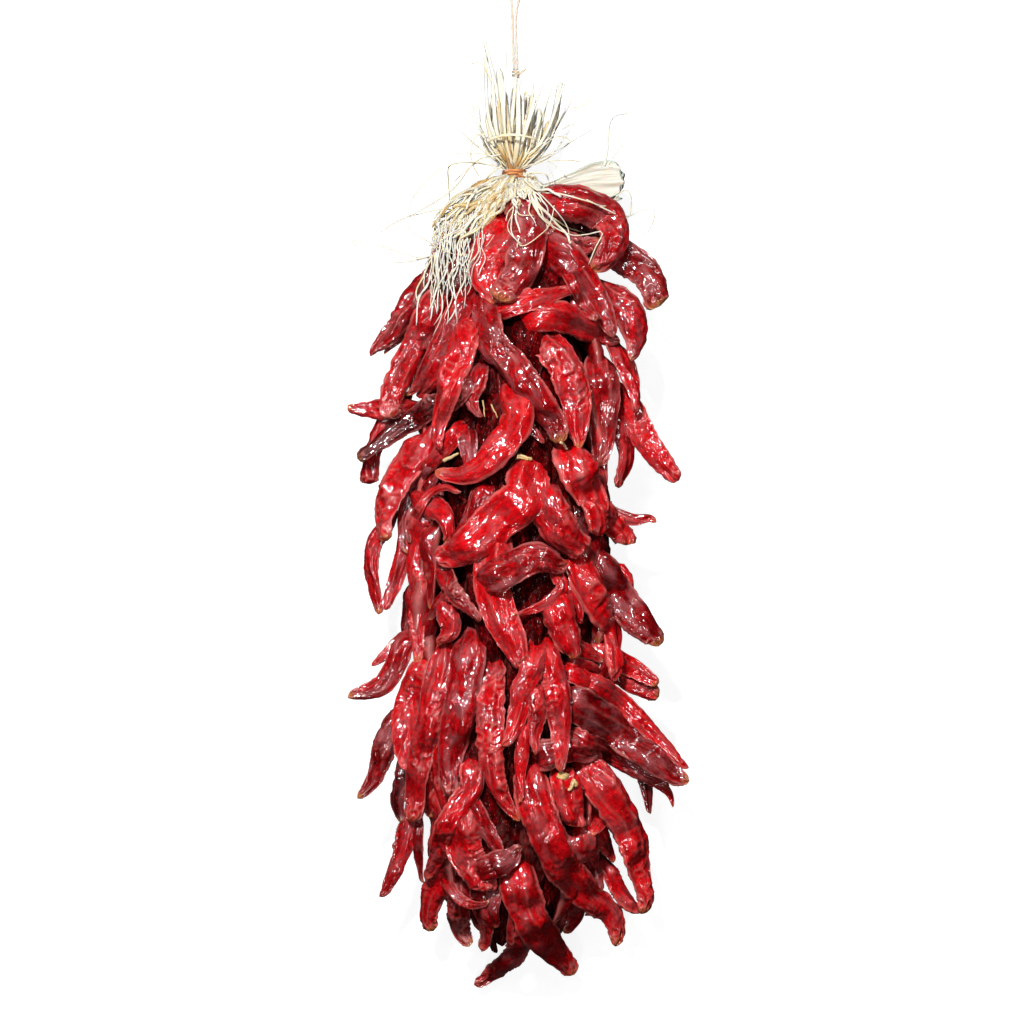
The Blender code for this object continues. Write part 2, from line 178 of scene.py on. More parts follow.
def mesh_piece(name, grids, attributes, material):
    """One piece from tubes, each a grid (row, column, xyz) in centimetres.

    Each tube is closed round its columns, and its first and last row close on their own middle.
    Its UV map holds the distance along and around the tube in centimetres, further on for each
    tube, and attributes gives, for each name, the values on each tube's grid.
    """
    points, loops, sizes, uvs = [], [], [], []
    offset = 0
    for index, grid in enumerate(grids):
        rows, columns, _ = grid.shape
        points += [grid.reshape(-1, 3), grid[[0, -1]].mean(axis=1)]
        corners, seamed = tube_faces(rows, columns)
        loops.append(corners + offset)
        sizes += [np.full((rows - 1) * columns, 4), np.full(2 * columns, 3)]
        uvs.append(along_around(grid).reshape(-1, 2)[seamed] + (13.7 * index, 0))
        offset += rows * columns + 2
    points, loops, sizes, uvs = (np.concatenate(each) for each in (points, loops, sizes, uvs))

    mesh = bpy.data.meshes.new(name)
    mesh.vertices.add(len(points))
    mesh.vertices.foreach_set("co", in_frame(points).astype(np.float32).ravel())
    mesh.loops.add(len(loops))
    mesh.loops.foreach_set("vertex_index", loops.astype(np.int32))
    mesh.polygons.add(len(sizes))
    starts = np.concatenate([[0], np.cumsum(sizes)[:-1]])
    mesh.polygons.foreach_set("loop_start", starts.astype(np.int32))
    mesh.polygons.foreach_set("use_smooth", np.ones(len(sizes), bool))
    mesh.update(calc_edges=True)
    layer = mesh.uv_layers.new(name="along_around")
    layer.uv.foreach_set("vector", uvs.astype(np.float32).ravel())
    for label, values in attributes.items():
        spread = [part for value in values for part in (value.ravel(), value[[0, -1]].mean(axis=1))]
        store = mesh.attributes.new(label, "FLOAT", "POINT")
        store.data.foreach_set("value", np.concatenate(spread).astype(np.float32))
    mesh.materials.append(material)
    piece = bpy.data.objects.new(name, mesh)
    bpy.context.scene.collection.objects.link(piece)
    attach(piece, "root")
    return piece


def twisted_strand(line, thickness, lay, columns=10):
    """A two-strand twine: its section has two lobes, which turn once in every lay of its length."""
    _, side, normal = frames_along(line, np.array([0.02, 0.01, 1.0]))
    run = np.concatenate([[0], np.cumsum(np.linalg.norm(np.diff(line, axis=0), axis=1))])
    angle = np.linspace(0, 2 * np.pi, columns, endpoint=False)[None, :]
    lobes = 0.5 * thickness * (0.72 + 0.28 * np.abs(np.cos(angle - np.pi * run[:, None] / lay)))
    ring = side[:, None] * np.cos(angle)[..., None] - normal[:, None] * np.sin(angle)[..., None]
    return line[:, None] + ring * lobes[..., None]


def streaked(material, scale, detail, strength, distance):
    """Gives a material streaks along the strand, as noise, and a bump of the same."""
    nodes = material.node_tree.nodes
    link = material.node_tree.links.new
    uv = nodes.new("ShaderNodeUVMap")
    uv.uv_map = "along_around"
    stretch = nodes.new("ShaderNodeMapping")
    stretch.inputs["Scale"].default_value = scale
    streaks = nodes.new("ShaderNodeTexNoise")
    streaks.inputs["Scale"].default_value = 1.0
    streaks.inputs["Detail"].default_value = detail
    bump = nodes.new("ShaderNodeBump")
    bump.inputs["Strength"].default_value = strength
    bump.inputs["Distance"].default_value = distance
    link(uv.outputs["UV"], stretch.inputs["Vector"])
    link(stretch.outputs["Vector"], streaks.inputs["Vector"])
    link(streaks.outputs["Fac"], bump.inputs["Height"])
    link(bump.outputs["Normal"], nodes["Principled BSDF"].inputs["Normal"])
    return streaks.outputs["Fac"]


def fibre_material(name, colours, strength, scale, roughness):
    """Plant fibre: streaks along the strand between three colours, with a fine bump of the same."""
    made = bpy.data.materials.new(name)
    made.use_nodes = True
    nodes = made.node_tree.nodes
    link = made.node_tree.links.new
    shader = nodes["Principled BSDF"]
    shader.inputs["Roughness"].default_value = roughness
    shader.inputs["Subsurface Weight"].default_value = 0.4
    shader.inputs["Subsurface Scale"].default_value = 0.002
    shader.inputs["Sheen Weight"].default_value = 0.15
    streaks = streaked(made, scale, 4.0, strength, 0.0004)
    ramp = nodes.new("ShaderNodeValToRGB")
    for element, (place, colour) in zip(ramp.color_ramp.elements, (colours[0], colours[-1])):
        element.position = place
        element.color = (*colour, 1)
    middle = ramp.color_ramp.elements.new(colours[1][0])
    middle.color = (*colours[1][1], 1)
    link(streaks, ramp.inputs["Fac"])
    link(ramp.outputs["Color"], shader.inputs["Base Color"])
    return made


cord_material = fibre_material(
    "cord_twine",
    ((0.3, (0.36, 0.28, 0.2)), (0.5, (0.56, 0.48, 0.39)), (0.72, (0.66, 0.6, 0.52))),
    0.6,
    (1.5, 14.0, 1.0),
    0.85,
)
cord_line, cord_length = along_curve(CORD_ROUTE, 260)
cord_grid = twisted_strand(cord_line, TWINE_DIAMETER, TWINE_LAY)
cord = mesh_piece("hanging_cord_twine", [cord_grid], {}, cord_material)
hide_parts("hanging_cord")


# --- The knot --------------------------------------------------------------------------------
# Three tight turns of the same twine, wound round a raffia stalk, hold the loop to the tuft.

KNOT_PLACE = np.array([0.25, 89.45, 1.3])
KNOT_RADIUS = 0.26
KNOT_TURNS = 3.25
knot_turn = np.linspace(0, 1, 150)[:, None]
knot_angle = 2 * np.pi * KNOT_TURNS * knot_turn
knot_line = KNOT_PLACE + np.concatenate(
    [
        KNOT_RADIUS * np.cos(knot_angle),
        0.55 * (knot_turn - 0.5) + 0.1 * np.sin(0.5 * knot_angle),
        KNOT_RADIUS * np.sin(knot_angle),
    ],
    axis=1,
)
knot_material = fibre_material(
    "knot_twine",
    ((0.3, (0.3, 0.2, 0.1)), (0.5, (0.58, 0.45, 0.28)), (0.72, (0.68, 0.58, 0.42))),
    0.7,
    (1.5, 14.0, 1.0),
    0.85,
)
knot_grid = twisted_strand(knot_line, 0.24, TWINE_LAY)
stub_line, _ = along_curve(((0.2, 89.3, 1.6), (0.7, 89.55, 1.55), (1.3, 90.0, 1.4)), 40)
stub_grid = twisted_strand(stub_line, 0.2, TWINE_LAY)
knot = mesh_piece("cord_knot_turns", [knot_grid, stub_grid], {}, knot_material)
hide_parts("cord_knot")


# --- The core of the string ------------------------------------------------------------------
# Under the pods that show, the stems and older pods are packed into a long barrel round the core cord.
# Its matte near-black colour is painted shade: the deep shadow in the gaps between the pods. Lying
# down, it sinks a little and is flat below, and its neck droops to the floor.

CORE_RADIUS = 10.2
CORE_MIDDLE = 40.0
CORE_HALF_LENGTH = 38.8
DEPTH_RATIO = 0.9
SINK = 0.7
NECK_LIFT = 4.2
HEART = 0.68  # the heart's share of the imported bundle's radius
HEART_FOOT = 7.0
HEART_HEAD = 76.5


def bundle_radius(y):
    """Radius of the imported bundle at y: a long barrel, (1 - u^3.5)^0.588 with u from its middle."""
    along = np.minimum(np.abs(y - CORE_MIDDLE) / CORE_HALF_LENGTH, 1.0)
    return CORE_RADIUS * (1.0 - along**3.5) ** 0.588


def axis_height(y):
    """Height of the string's axis over the floor, from its radius; the neck stays a little up."""
    height = DEPTH_RATIO * bundle_radius(y) - SINK
    return np.maximum(height, np.where(y > CORE_MIDDLE, NECK_LIFT, 1.2))


directions = np.random.default_rng(3).normal(size=(256, 3))
directions /= np.linalg.norm(directions, axis=1, keepdims=True)


def noise(points, seed):
    """Perlin noise, about -1 to 1: in each unit cell, the way from every corner dotted with that
    corner's own fixed direction, and the eight blended by 6t^5 - 15t^4 + 10t^3."""
    cell = np.floor(points).astype(np.int64)
    part = points - cell
    fade = part**3 * (part * (part * 6 - 15) + 10)
    total = np.zeros(points.shape[:-1])
    for corner in itertools.product((0, 1), repeat=3):
        key = (cell + corner) @ np.array([73856093, 19349663, 83492791]) + seed * 7919
        key = (key ^ (key >> 13)) * 1274126177
        way = directions[(key ^ (key >> 16)) & 255]
        weight = np.prod(np.where(np.array(corner) == 1, fade, 1 - fade), axis=-1)
        total += weight * np.sum(way * (part - corner), axis=-1)
    return 1.7 * total


heart_y = np.linspace(HEART_FOOT, HEART_HEAD, 90)[:, None]
heart_turn = np.linspace(0, 2 * np.pi, 48, endpoint=False)[None, :]
heart_reach = HEART * bundle_radius(heart_y) * np.sqrt(np.clip((heart_y - HEART_FOOT) / 8.0, 0, 1))
heart_reach = heart_reach + 0 * heart_turn
heart_place = np.stack(
    [
        heart_y / 3.0 + 0 * heart_turn,
        2 * np.cos(heart_turn) + 0 * heart_y,
        2 * np.sin(heart_turn) + 0 * heart_y,
    ],
    -1,
)
heart_reach = heart_reach * (1 + 0.08 * noise(heart_place, 5)) + 0.05
heart_grid = np.stack(
    [
        heart_reach * np.sin(heart_turn),
        heart_y + 0 * heart_turn,
        np.maximum(axis_height(heart_y) + DEPTH_RATIO * heart_reach * np.cos(heart_turn), 0.3),
    ],
    -1,
)
# Painted shade: the heart is near-black and matte, so the gaps between the pods read as deep shadow.
heart_shade_material = bpy.data.materials.new("dried_chilli_heart_painted_shade")
heart_shade_material.use_nodes = True
heart_shader = heart_shade_material.node_tree.nodes["Principled BSDF"]
heart_shader.inputs["Base Color"].default_value = (0.012, 0.001, 0.001, 1)
heart_shader.inputs["Roughness"].default_value = 1.0
heart_shader.inputs["Specular IOR Level"].default_value = 0.0
heart = mesh_piece("string_heart", [heart_grid], {}, heart_shade_material)
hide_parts("chilli_bundle")


# --- The skin of a dried chilli --------------------------------------------------------------
# Leathery, glossy and deep red, mottled lighter and darker, and ochre at some nibs. A pinkish-grey
# bloom on some pods is partly dust and partly painted sheen. The pale lines along the crests of its
# folds and round its rims are partly worn seams and partly painted highlight.


def chilli_skin(name, gloss):
    """The skin as a material: gloss is the weight of its clear coat."""
    material = bpy.data.materials.new(name)
    material.use_nodes = True
    nodes = material.node_tree.nodes
    link = material.node_tree.links.new
    shader = nodes["Principled BSDF"]
    shader.inputs["Coat Weight"].default_value = gloss
    shader.inputs["Coat IOR"].default_value = 1.7
    shader.inputs["Coat Roughness"].default_value = 0.05
    shader.inputs["Specular IOR Level"].default_value = 0.12 * gloss

    def attribute(name):
        node = nodes.new("ShaderNodeAttribute")
        node.attribute_name = name
        return node.outputs["Fac"]

    def math(operation, first, second):
        node = nodes.new("ShaderNodeMath")
        node.operation = operation
        node.use_clamp = operation in ("MULTIPLY", "ADD")
        for socket, value in zip(node.inputs, (first, second)):
            if isinstance(value, (int, float)):
                socket.default_value = value
            else:
                link(value, socket)
        return node.outputs["Value"]

    def mix(share, first, second):
        node = nodes.new("ShaderNodeMix")
        node.data_type = "RGBA"
        link(share, node.inputs["Factor"])
        for socket, value in zip((node.inputs["A"], node.inputs["B"]), (first, second)):
            if isinstance(value, tuple):
                socket.default_value = (*value, 1)
            else:
                link(value, socket)
        return node.outputs["Result"]

    uv = nodes.new("ShaderNodeUVMap")
    uv.uv_map = "along_around"

    def pattern(scale, detail, low, high):
        """Noise of this many waves a centimetre along and round the pod, spread to 0..1."""
        mapping = nodes.new("ShaderNodeMapping")
        mapping.inputs["Scale"].default_value = (*scale, 1.0)
        link(uv.outputs["UV"], mapping.inputs["Vector"])
        texture = nodes.new("ShaderNodeTexNoise")
        texture.inputs["Scale"].default_value = 1.0
        texture.inputs["Detail"].default_value = detail
        link(mapping.outputs["Vector"], texture.inputs["Vector"])
        spread = nodes.new("ShaderNodeMapRange")
        spread.inputs["From Min"].default_value = low
        spread.inputs["From Max"].default_value = high
        link(texture.outputs["Fac"], spread.inputs["Value"])
        return spread.outputs["Result"]

    blotches = pattern((0.3, 0.7), 3.0, 0.3, 0.7)
    mottle = pattern((2.2, 2.8), 5.0, 0.35, 0.65)
    veils = pattern((0.4, 0.7), 4.0, 0.48, 0.66)
    specks = pattern((5.0, 6.0), 2.0, 0.66, 0.72)
    creases = pattern((0.9, 1.9), 1.5, 0.0, 1.0)
    grain = pattern((7.0, 11.0), 4.0, 0.3, 0.7)

    ripeness = math("ADD", attribute("tone"), math("MULTIPLY", blotches, 0.35))
    ripeness = math("SUBTRACT", ripeness, math("MULTIPLY", mottle, 0.4))
    ramp = nodes.new("ShaderNodeValToRGB")
    ramp.color_ramp.elements[0].position = 0.0
    ramp.color_ramp.elements[0].color = (0.02, 0.0002, 0.0005, 1)
    ramp.color_ramp.elements[1].position = 1.0
    ramp.color_ramp.elements[1].color = (0.56, 0.002, 0.005, 1)
    middle = ramp.color_ramp.elements.new(0.5)
    middle.color = (0.18, 0.001, 0.0025, 1)
    link(ripeness, ramp.inputs["Fac"])
    # Bloom: partly real dust and partly painted sheen, a pinkish grey that stands in for a soft reflection on
    # the facets.
    bloom_and_sheen = math("MULTIPLY", math("MULTIPLY", veils, math("ADD", grain, 0.3)), attribute("dust"))
    colour = mix(bloom_and_sheen, ramp.outputs["Color"], (0.26, 0.065, 0.07))
    # Pale pink along the crests and rims: partly worn pale seams and partly painted highlight where a grazing
    # lamp would catch the fold edges.
    colour = mix(math("MULTIPLY", attribute("crest_and_highlight"), 0.42), colour, (0.6, 0.2, 0.18))
    colour = mix(math("MULTIPLY", specks, 0.35), colour, (0.7, 0.2, 0.13))
    dried = math("MULTIPLY", attribute("nib"), math("ADD", mottle, 0.1))
    colour = mix(math("MULTIPLY", dried, 0.9), colour, (0.5, 0.2, 0.05))
    link(colour, shader.inputs["Base Color"])
    rough = nodes.new("ShaderNodeMapRange")
    rough.inputs["To Min"].default_value = 0.3
    rough.inputs["To Max"].default_value = 0.5
    link(math("ADD", math("MULTIPLY", mottle, 0.5), bloom_and_sheen), rough.inputs["Value"])
    link(rough.outputs["Result"], shader.inputs["Roughness"])
    folded = math("ABSOLUTE", math("SUBTRACT", creases, 0.5), 0.0)
    bump = nodes.new("ShaderNodeBump")
    bump.invert = True
    bump.inputs["Strength"].default_value = 0.5
    bump.inputs["Distance"].default_value = 0.003
    link(folded, bump.inputs["Height"])
    fine = nodes.new("ShaderNodeBump")
    fine.inputs["Strength"].default_value = 0.25
    fine.inputs["Distance"].default_value = 0.0006
    link(grain, fine.inputs["Height"])
    link(bump.outputs["Normal"], fine.inputs["Normal"])
    link(fine.outputs["Normal"], shader.inputs["Normal"])
    link(bump.outputs["Normal"], shader.inputs["Coat Normal"])
    return material


chilli_material = chilli_skin("dried_chilli_skin", 1.0)


# --- How a pod is shaped ---------------------------------------------------------------------
# A pod is a flattened, half-collapsed tube. It swells quickly to its shoulders at the stem end,
# tapers to a nib, and its skin has shrunk into sharp crests with smooth hollows between them.


def ridges(points, seed):
    """Sharp crests with round hollows between: 1 - 2.6|noise|, from about -1 to 1."""
    return 1.0 - 2.6 * np.abs(noise(points, seed))


def pod_surface(spine, up, width, flatness, end_share, roll, seed, columns):
    """A pod on a grid of rows along the spine and columns round it, its pale crests with painted highlights,
    and its nib.

    Its half-width is width/2 times a quarter-circle shoulder and a taper from 1 to end_share that
    ends in a round nib. Round each row the section is a lens with two sharp edges. Over its upper
    side run two creases that wander along the pod. Each adds height by |distance from it|, in
    places up and in places down, so that the skin lies in long facets between them. Noise that is
    long along the pod pushes the skin in and out, and in places small ripples run across it.
    """
    rows = len(spine)
    length = np.sum(np.linalg.norm(np.diff(spine, axis=0), axis=1))
    share = np.linspace(0, 1, rows)[:, None]
    along = share * length
    lone = np.stack([along / 4.0, 0 * along + 0.5, 0 * along + 0.5], -1)
    shoulder = np.sqrt(1 - (1 - np.clip(share / 0.2, 0, 1)) ** 2)
    falling = np.clip((share - 0.28) / 0.72, 0, 1)
    taper = 1 - (1 - end_share) * falling ** (1.6 + 1.6 * ((seed * 53) % 7) / 6)
    nib = np.sqrt(np.clip(1 - np.clip((share - 0.96) / 0.04, 0, 1) ** 1.6, 0.0, 1))
    uneven = 1 + 0.08 * noise(lone, seed) + 0.05 * ridges(lone * 2.5, seed + 1)
    half = 0.5 * width * np.maximum(shoulder * taper * nib * uneven, 0.03)

    column = np.linspace(0, 1, columns, endpoint=False)[None, :]
    angle = -0.5 * np.pi + 2 * np.pi * column + 0.35 * np.sin(2 * np.pi * column)
    cosine, sine = np.cos(angle), np.sin(angle)
    across = cosine + 0 * along
    edge = 1.5 + 0.5 * noise(lone * 0.5, seed + 2)
    thick = flatness * np.sign(sine) * np.abs(sine) ** edge
    shown = np.clip(2.5 * sine, 0, 1) * (1 - across**2)
    first = np.abs(across - 0.35 - 0.35 * noise(lone * 0.8, seed + 3))
    second = np.abs(across + 0.35 - 0.35 * noise(lone * 0.8, seed + 4))
    facets = noise(lone * 1.2, seed + 5) * first + noise(lone * 1.2, seed + 6) * second
    fold = np.exp(-np.minimum(first, second) / 0.05) * shown
    fold = fold * np.clip(0.2 + 1.6 * noise(lone, seed + 7), 0, 1)
    thick = thick + flatness * (2.2 * facets * shown + 0.28 * fold)

    place = np.stack([along + 0 * cosine, cosine + 0 * along, sine + 0 * along], -1)
    broad = noise(place * (0.2, 0.8, 0.8), seed + 11)
    middle = ridges(place * (0.3, 1.4, 1.4), seed + 23)
    wrinkled = 0.4 + 0.6 * ((seed * 37) % 5) / 4
    patch = wrinkled * np.clip(0.45 + 1.8 * noise(place * (0.3, 0.7, 0.7), seed + 31), 0, 1)
    patch = np.maximum(patch, np.clip((share - 0.86) / 0.06, 0, 1))
    ripple = ridges(place * (1.3, 1.4, 1.4), seed + 37)
    small = np.minimum(half, 1.0)
    push = half * (0.1 * broad + 0.06 * middle) + 0.19 * patch * ripple * small
    facing = unit(np.stack([flatness * cosine, sine], -1))
    section_x = half * across + push * facing[..., 0]
    section_z = half * thick + push * facing[..., 1]

    _, side, normal = frames_along(spine, up)
    turn = roll[:, None]
    wide = side * np.cos(turn) + normal * np.sin(turn)
    tall = normal * np.cos(turn) - side * np.sin(turn)
    grid = spine[:, None] - section_x[..., None] * wide[:, None] + section_z[..., None] * tall[:, None]
    # The crest share is partly pale worn seams and partly painted highlight: it is high along the rim of the
    # pod, along its fold lines and on the tops of its ripples.
    rim = np.exp(-(((np.abs(across) - 0.97) / 0.05) ** 2)) * (sine > -0.3)
    crest_and_highlight = np.clip(0.8 * fold + 0.8 * rim + 1.8 * np.clip(patch * ripple - 0.4, 0, 1), 0, 1)
    nib_share = np.clip((share - 0.94) / 0.05, 0, 1) + 0 * cosine
    return grid, crest_and_highlight, nib_share


# The listed pods of the shown side. Each is its spine from stem end to tip, its width, the look of
# its skin, its layer from 1, deep, to 5, on top, how far it stands off the bundle and, on a blunt pod,
# the share of its width that it keeps at the tip.
# Each skin is a tone and a share of dust and painted sheen. The dark skin is partly a darker pod and partly
# painted shade: it goes mostly on deep pods that lie in shade under the others.
SKINS = {
    "bright": (0.8, 0.5),
    "deep": (0.6, 0.6),
    "dark": (0.2, 0.4),
    "dusty": (0.5, 1.0),
}
SHOULDER_PODS = (
    (((2.6, 76.0), (4.6, 76.6), (7.2, 76.2), (9.2, 74.9), (9.8, 72.8), (9.0, 71.2), (7.6, 69.9)),
     3.6, "deep", 4, 2.2),
    (((3.0, 73.4), (4.8, 72.6), (6.6, 72.3), (8.4, 73.0)), 2.6, "dusty", 3, 0.3),
    # Two dark pods in the hollow under the arching pod: their dark skin is painted shade.
    (((5.0, 75.2), (7.0, 74.4), (9.0, 73.2)), 2.6, "dark", 2, 0.0),
    (((4.4, 73.6), (6.6, 72.0), (9.2, 70.6)), 3.0, "dark", 1, 0.0),
    (((9.0, 72.2), (10.9, 71.2), (12.4, 70.2), (13.5, 68.6), (14.0, 66.5)), 3.1, "dusty", 3, 1.0, 0.75),
    (((1.3, 76.8), (1.3, 74.5), (1.3, 72), (0.6, 69.5), (-1.4, 66.9)), 3.9, "dusty", 5, 0.0, 0.5),
    (((-1.3, 73.3), (-2.4, 71), (-2.6, 69), (-1.7, 66.7)), 3.4, "bright", 4, 0.0),
    (((-0.8, 66.3), (1.8, 67.0), (4.2, 67.7), (6.5, 68.3)), 2.4, "bright", 4, 0.0),
    (((3.6, 72.0), (5.3, 70.8), (7.0, 68.6), (8.7, 65.8), (9.8, 63.5)), 3.4, "dusty", 5, 0.0),
    (((5.6, 68.8), (6.4, 67.4), (8.1, 65.1)), 1.1, "deep", 5, 0.3, 0.95),
    (((1.4, 65.3), (4.8, 65.3), (8, 63.9), (10.3, 63.0)), 2.9, "bright", 4, 0.0),
    (((9.0, 67.6), (10.8, 66.3), (11.7, 64.3), (11.6, 62.2), (11.3, 61.2)), 3.0, "deep", 3, 1.8),
    # Two dark pods under the raffia skirt: their dark skin is painted shade.
    (((-5.5, 73.5), (-7, 70.5), (-9.5, 66.5)), 2.6, "dark", 2, 0.0),
    (((-3.5, 73), (-5, 70), (-7.5, 66)), 2.8, "dark", 2, 0.0),
    (((-8.6, 68.8), (-10.3, 66), (-11.7, 64), (-14.0, 61.9)), 2.4, "deep", 2, 0.0),
    (((-9, 66.5), (-10.8, 63.8), (-12.6, 62)), 1.6, "dusty", 1, 0.0),
    (((-7.3, 67), (-9.2, 63.3), (-10.8, 60), (-11.8, 57.5), (-11.9, 55.7)), 2.9, "deep", 4, 1.0, 0.65),
    (((-6.8, 66), (-8.4, 62.5), (-9.4, 59.8), (-10, 58)), 1.5, "dusty", 2, 0.0),
    (((-4.1, 67.8), (-5.8, 65), (-7.5, 61.6), (-9, 59.2), (-10.2, 57.7)), 2.2, "deep", 3, 0.0),
    (((-4.6, 63.9), (-5.2, 61.2), (-6.2, 58.2), (-7, 55.2), (-7.3, 52.6)), 3.2, "bright", 5, 0.0),
)
UPPER_PODS = (
    (((-10.4, 56.6), (-12.4, 56.5), (-14, 56.5), (-16, 56.6)), 1.9, "bright", 1, 0.5),
    (((-7.8, 56.8), (-9.8, 55.4), (-11.6, 54.2), (-13.2, 53), (-15, 51.7)), 2.1, "dark", 3, 1.0, 0.5),
    (((-11.0, 57.0), (-12.4, 55.3), (-13.5, 52.5), (-14, 49.3)), 1.7, "deep", 1, 0.0, 0.9),
    (((-3.4, 59.4), (-3.9, 57.3), (-3.1, 55.6)), 2.0, "dusty", 2, 0.0),
    (((-4.7, 58.3), (-5.8, 56.3)), 1.6, "dark", 2, 0.0),
    (((-6.9, 60.8), (-7.8, 59.3), (-9.2, 57.7)), 1.6, "bright", 1, 0.0),
    (((-5.4, 54.2), (-6.4, 52.9), (-7.4, 51.8), (-8.6, 50.2)), 1.6, "bright", 2, 0.0),
    (((-4.3, 53.1), (-4.2, 51.7), (-4.6, 50.5)), 1.8, "dusty", 3, 0.0),
    (((0, 58.3), (0.5, 55.6), (-1.5, 52.4), (-4.2, 50.3), (-7.5, 50.2)), 3.2, "bright", 5, 0.0),
    (((-8.9, 52.9), (-10.6, 50.6), (-11.9, 48), (-12.4, 45.8), (-12.3, 43.8)), 3.6, "bright", 4, 1.0, 0.5),
    (((-8.2, 51.2), (-9.5, 49.2), (-10.6, 46.8), (-10.8, 44.5), (-10.7, 42.6)), 1.1, "dusty", 3, 0.5),
    (((-8, 49.3), (-9.3, 47.3), (-10.1, 45.5), (-10.1, 43.6)), 1.0, "dusty", 3, 0.5),
    (((-2.8, 66), (-2.1, 63), (0.2, 60.5), (2.2, 57.8), (4, 55), (4.6, 53.2)), 3.3, "dusty", 5, 0.0, 0.5),
    (((3.2, 63), (4.6, 61), (5.7, 58.5), (6.2, 56), (6.3, 52.7)), 3.2, "bright", 4, 0.0),
    (((8.4, 60.6), (8.8, 58), (8.7, 55), (8.6, 52.3), (8.4, 51)), 3.0, "deep", 3, 0.5),
    (((10.2, 62.3), (11.2, 60), (11.7, 58), (11.9, 56.2)), 2.2, "deep", 3, 1.0),
    (((10.2, 58.0), (11.6, 56), (12.6, 54), (14, 52), (16, 49.6)), 2.7, "bright", 3, 0.0, 0.45),
    (((10.2, 56), (10.8, 53.5), (10.9, 51.5), (10, 49)), 2.4, "deep", 2, 0.0, 0.4),
    (((5.8, 51.8), (6.8, 49.3), (7.9, 47.3), (8.2, 44.3)), 3.9, "bright", 4, 0.0, 0.5),
    (((0.4, 55.0), (1.8, 54.4), (3, 53.2)), 1.3, "dusty", 3, 0.0),
)
MIDDLE_PODS = (
    (((6.7, 46.5), (7.3, 44.5), (8.4, 42.6)), 1.4, "dark", 2, 0.0),
    (((9, 46), (10.2, 44.9), (11.1, 43.5)), 2.6, "bright", 3, 0.0, 0.7),
    (((9.2, 46.8), (11.5, 45.9), (13.2, 46), (13.8, 45.5)), 1.3, "deep", 2, 0.0),
    (((3, 47.6), (3.9, 45.8), (5, 44.2), (6.9, 42.9)), 3.7, "bright", 4, 0.0, 0.6),
    (((6.3, 41.6), (7.3, 39.5), (8.3, 37.5), (9.3, 35.9), (9.6, 33.5), (9.8, 30.2)), 3.4, "bright", 5, 0.0),
    (((8.2, 41.5), (9.8, 39), (11.3, 37), (12.8, 35.3), (14.3, 33.9)), 3.3, "dusty", 4, 0.6, 0.4),
    (((10.2, 41), (11, 39.8), (11.4, 38)), 1.6, "bright", 2, 0.0),
    (((4.3, 37.2), (4.9, 35.2), (5.9, 32.7)), 3.0, "bright", 4, 0.0),
    (((5, 38.6), (6.1, 37.2), (6.4, 35.9)), 1.7, "bright", 3, 0.0),
    (((6.2, 33.6), (7.6, 33), (8.6, 32.2)), 1.9, "bright", 3, 0.0),
    (((6.3, 32), (7.7, 31.6), (8.6, 30.9)), 1.3, "bright", 2, 0.0),
    (((8.6, 33.0), (10, 32.3), (12, 31.3), (14, 29.9)), 2.2, "bright", 3, 0.0, 0.5),
    (((8.8, 32.0), (10, 31.3), (11.8, 30), (14.1, 28.7)), 2.2, "bright", 2, 0.0, 0.5),
    (((-12.2, 45.4), (-13.4, 43.6), (-13.7, 41.5), (-13.4, 39), (-12.7, 36.8)), 1.8, "deep", 1, 0.5, 0.5),
    (((-10.2, 44.4), (-10.7, 42.2), (-11.5, 39.6), (-12.5, 37.2)), 1.8, "deep", 2, 0.5, 0.5),
    (((-8.4, 47), (-9, 45), (-9.1, 42), (-9, 39), (-9.2, 36.5), (-9.2, 34), (-8.9, 32)),
     2.3, "bright", 5, 0.0),
    (((-8.5, 47.4), (-6.8, 46.5), (-6.2, 45), (-6.4, 43.7)), 2.2, "bright", 4, 0.0),
    (((-9.5, 46), (-8.2, 48.2), (-6.5, 49), (-5.1, 48.3)), 1.0, "bright", 4, 0.5),
    (((-3.6, 48.2), (-4.4, 46.1), (-5.8, 44)), 1.0, "dusty", 3, 0.0),
    (((-2.9, 48.2), (-3.6, 46.5), (-4.2, 45)), 1.8, "deep", 3, 0.0),
    (((1.5, 50.5), (1.0, 48), (-1.2, 46), (-3.5, 44), (-5.5, 42.7), (-7.5, 42.3)), 4.0, "bright", 5, 0.0),
    (((-6.8, 41), (-5.8, 39.2), (-4.6, 37.8), (-3, 36.3)), 2.0, "deep", 3, 0.0),
    (((-1.8, 43.3), (-2.0, 40.5), (-1.3, 37), (0, 34), (1.0, 31.5)), 3.8, "bright", 4, 0.0),
    (((-1.6, 40.4), (0.5, 41.6), (2.5, 42.2), (5, 41.3)), 3.2, "dusty", 5, 0.0),
    (((4.2, 40.6), (4.6, 39.2), (3.2, 37.8), (1.2, 37), (-0.1, 36.6)), 1.5, "bright", 4, 0.0),
    (((-6.6, 38.4), (-7.5, 37.3), (-8, 36.2)), 1.2, "dusty", 2, 0.0),
    (((-6.3, 37), (-6, 35.3), (-7.3, 34)), 2.0, "bright", 3, 0.0),
    (((-10.2, 38), (-10.4, 36), (-10.5, 34.6)), 1.3, "dark", 1, 0.0),
)
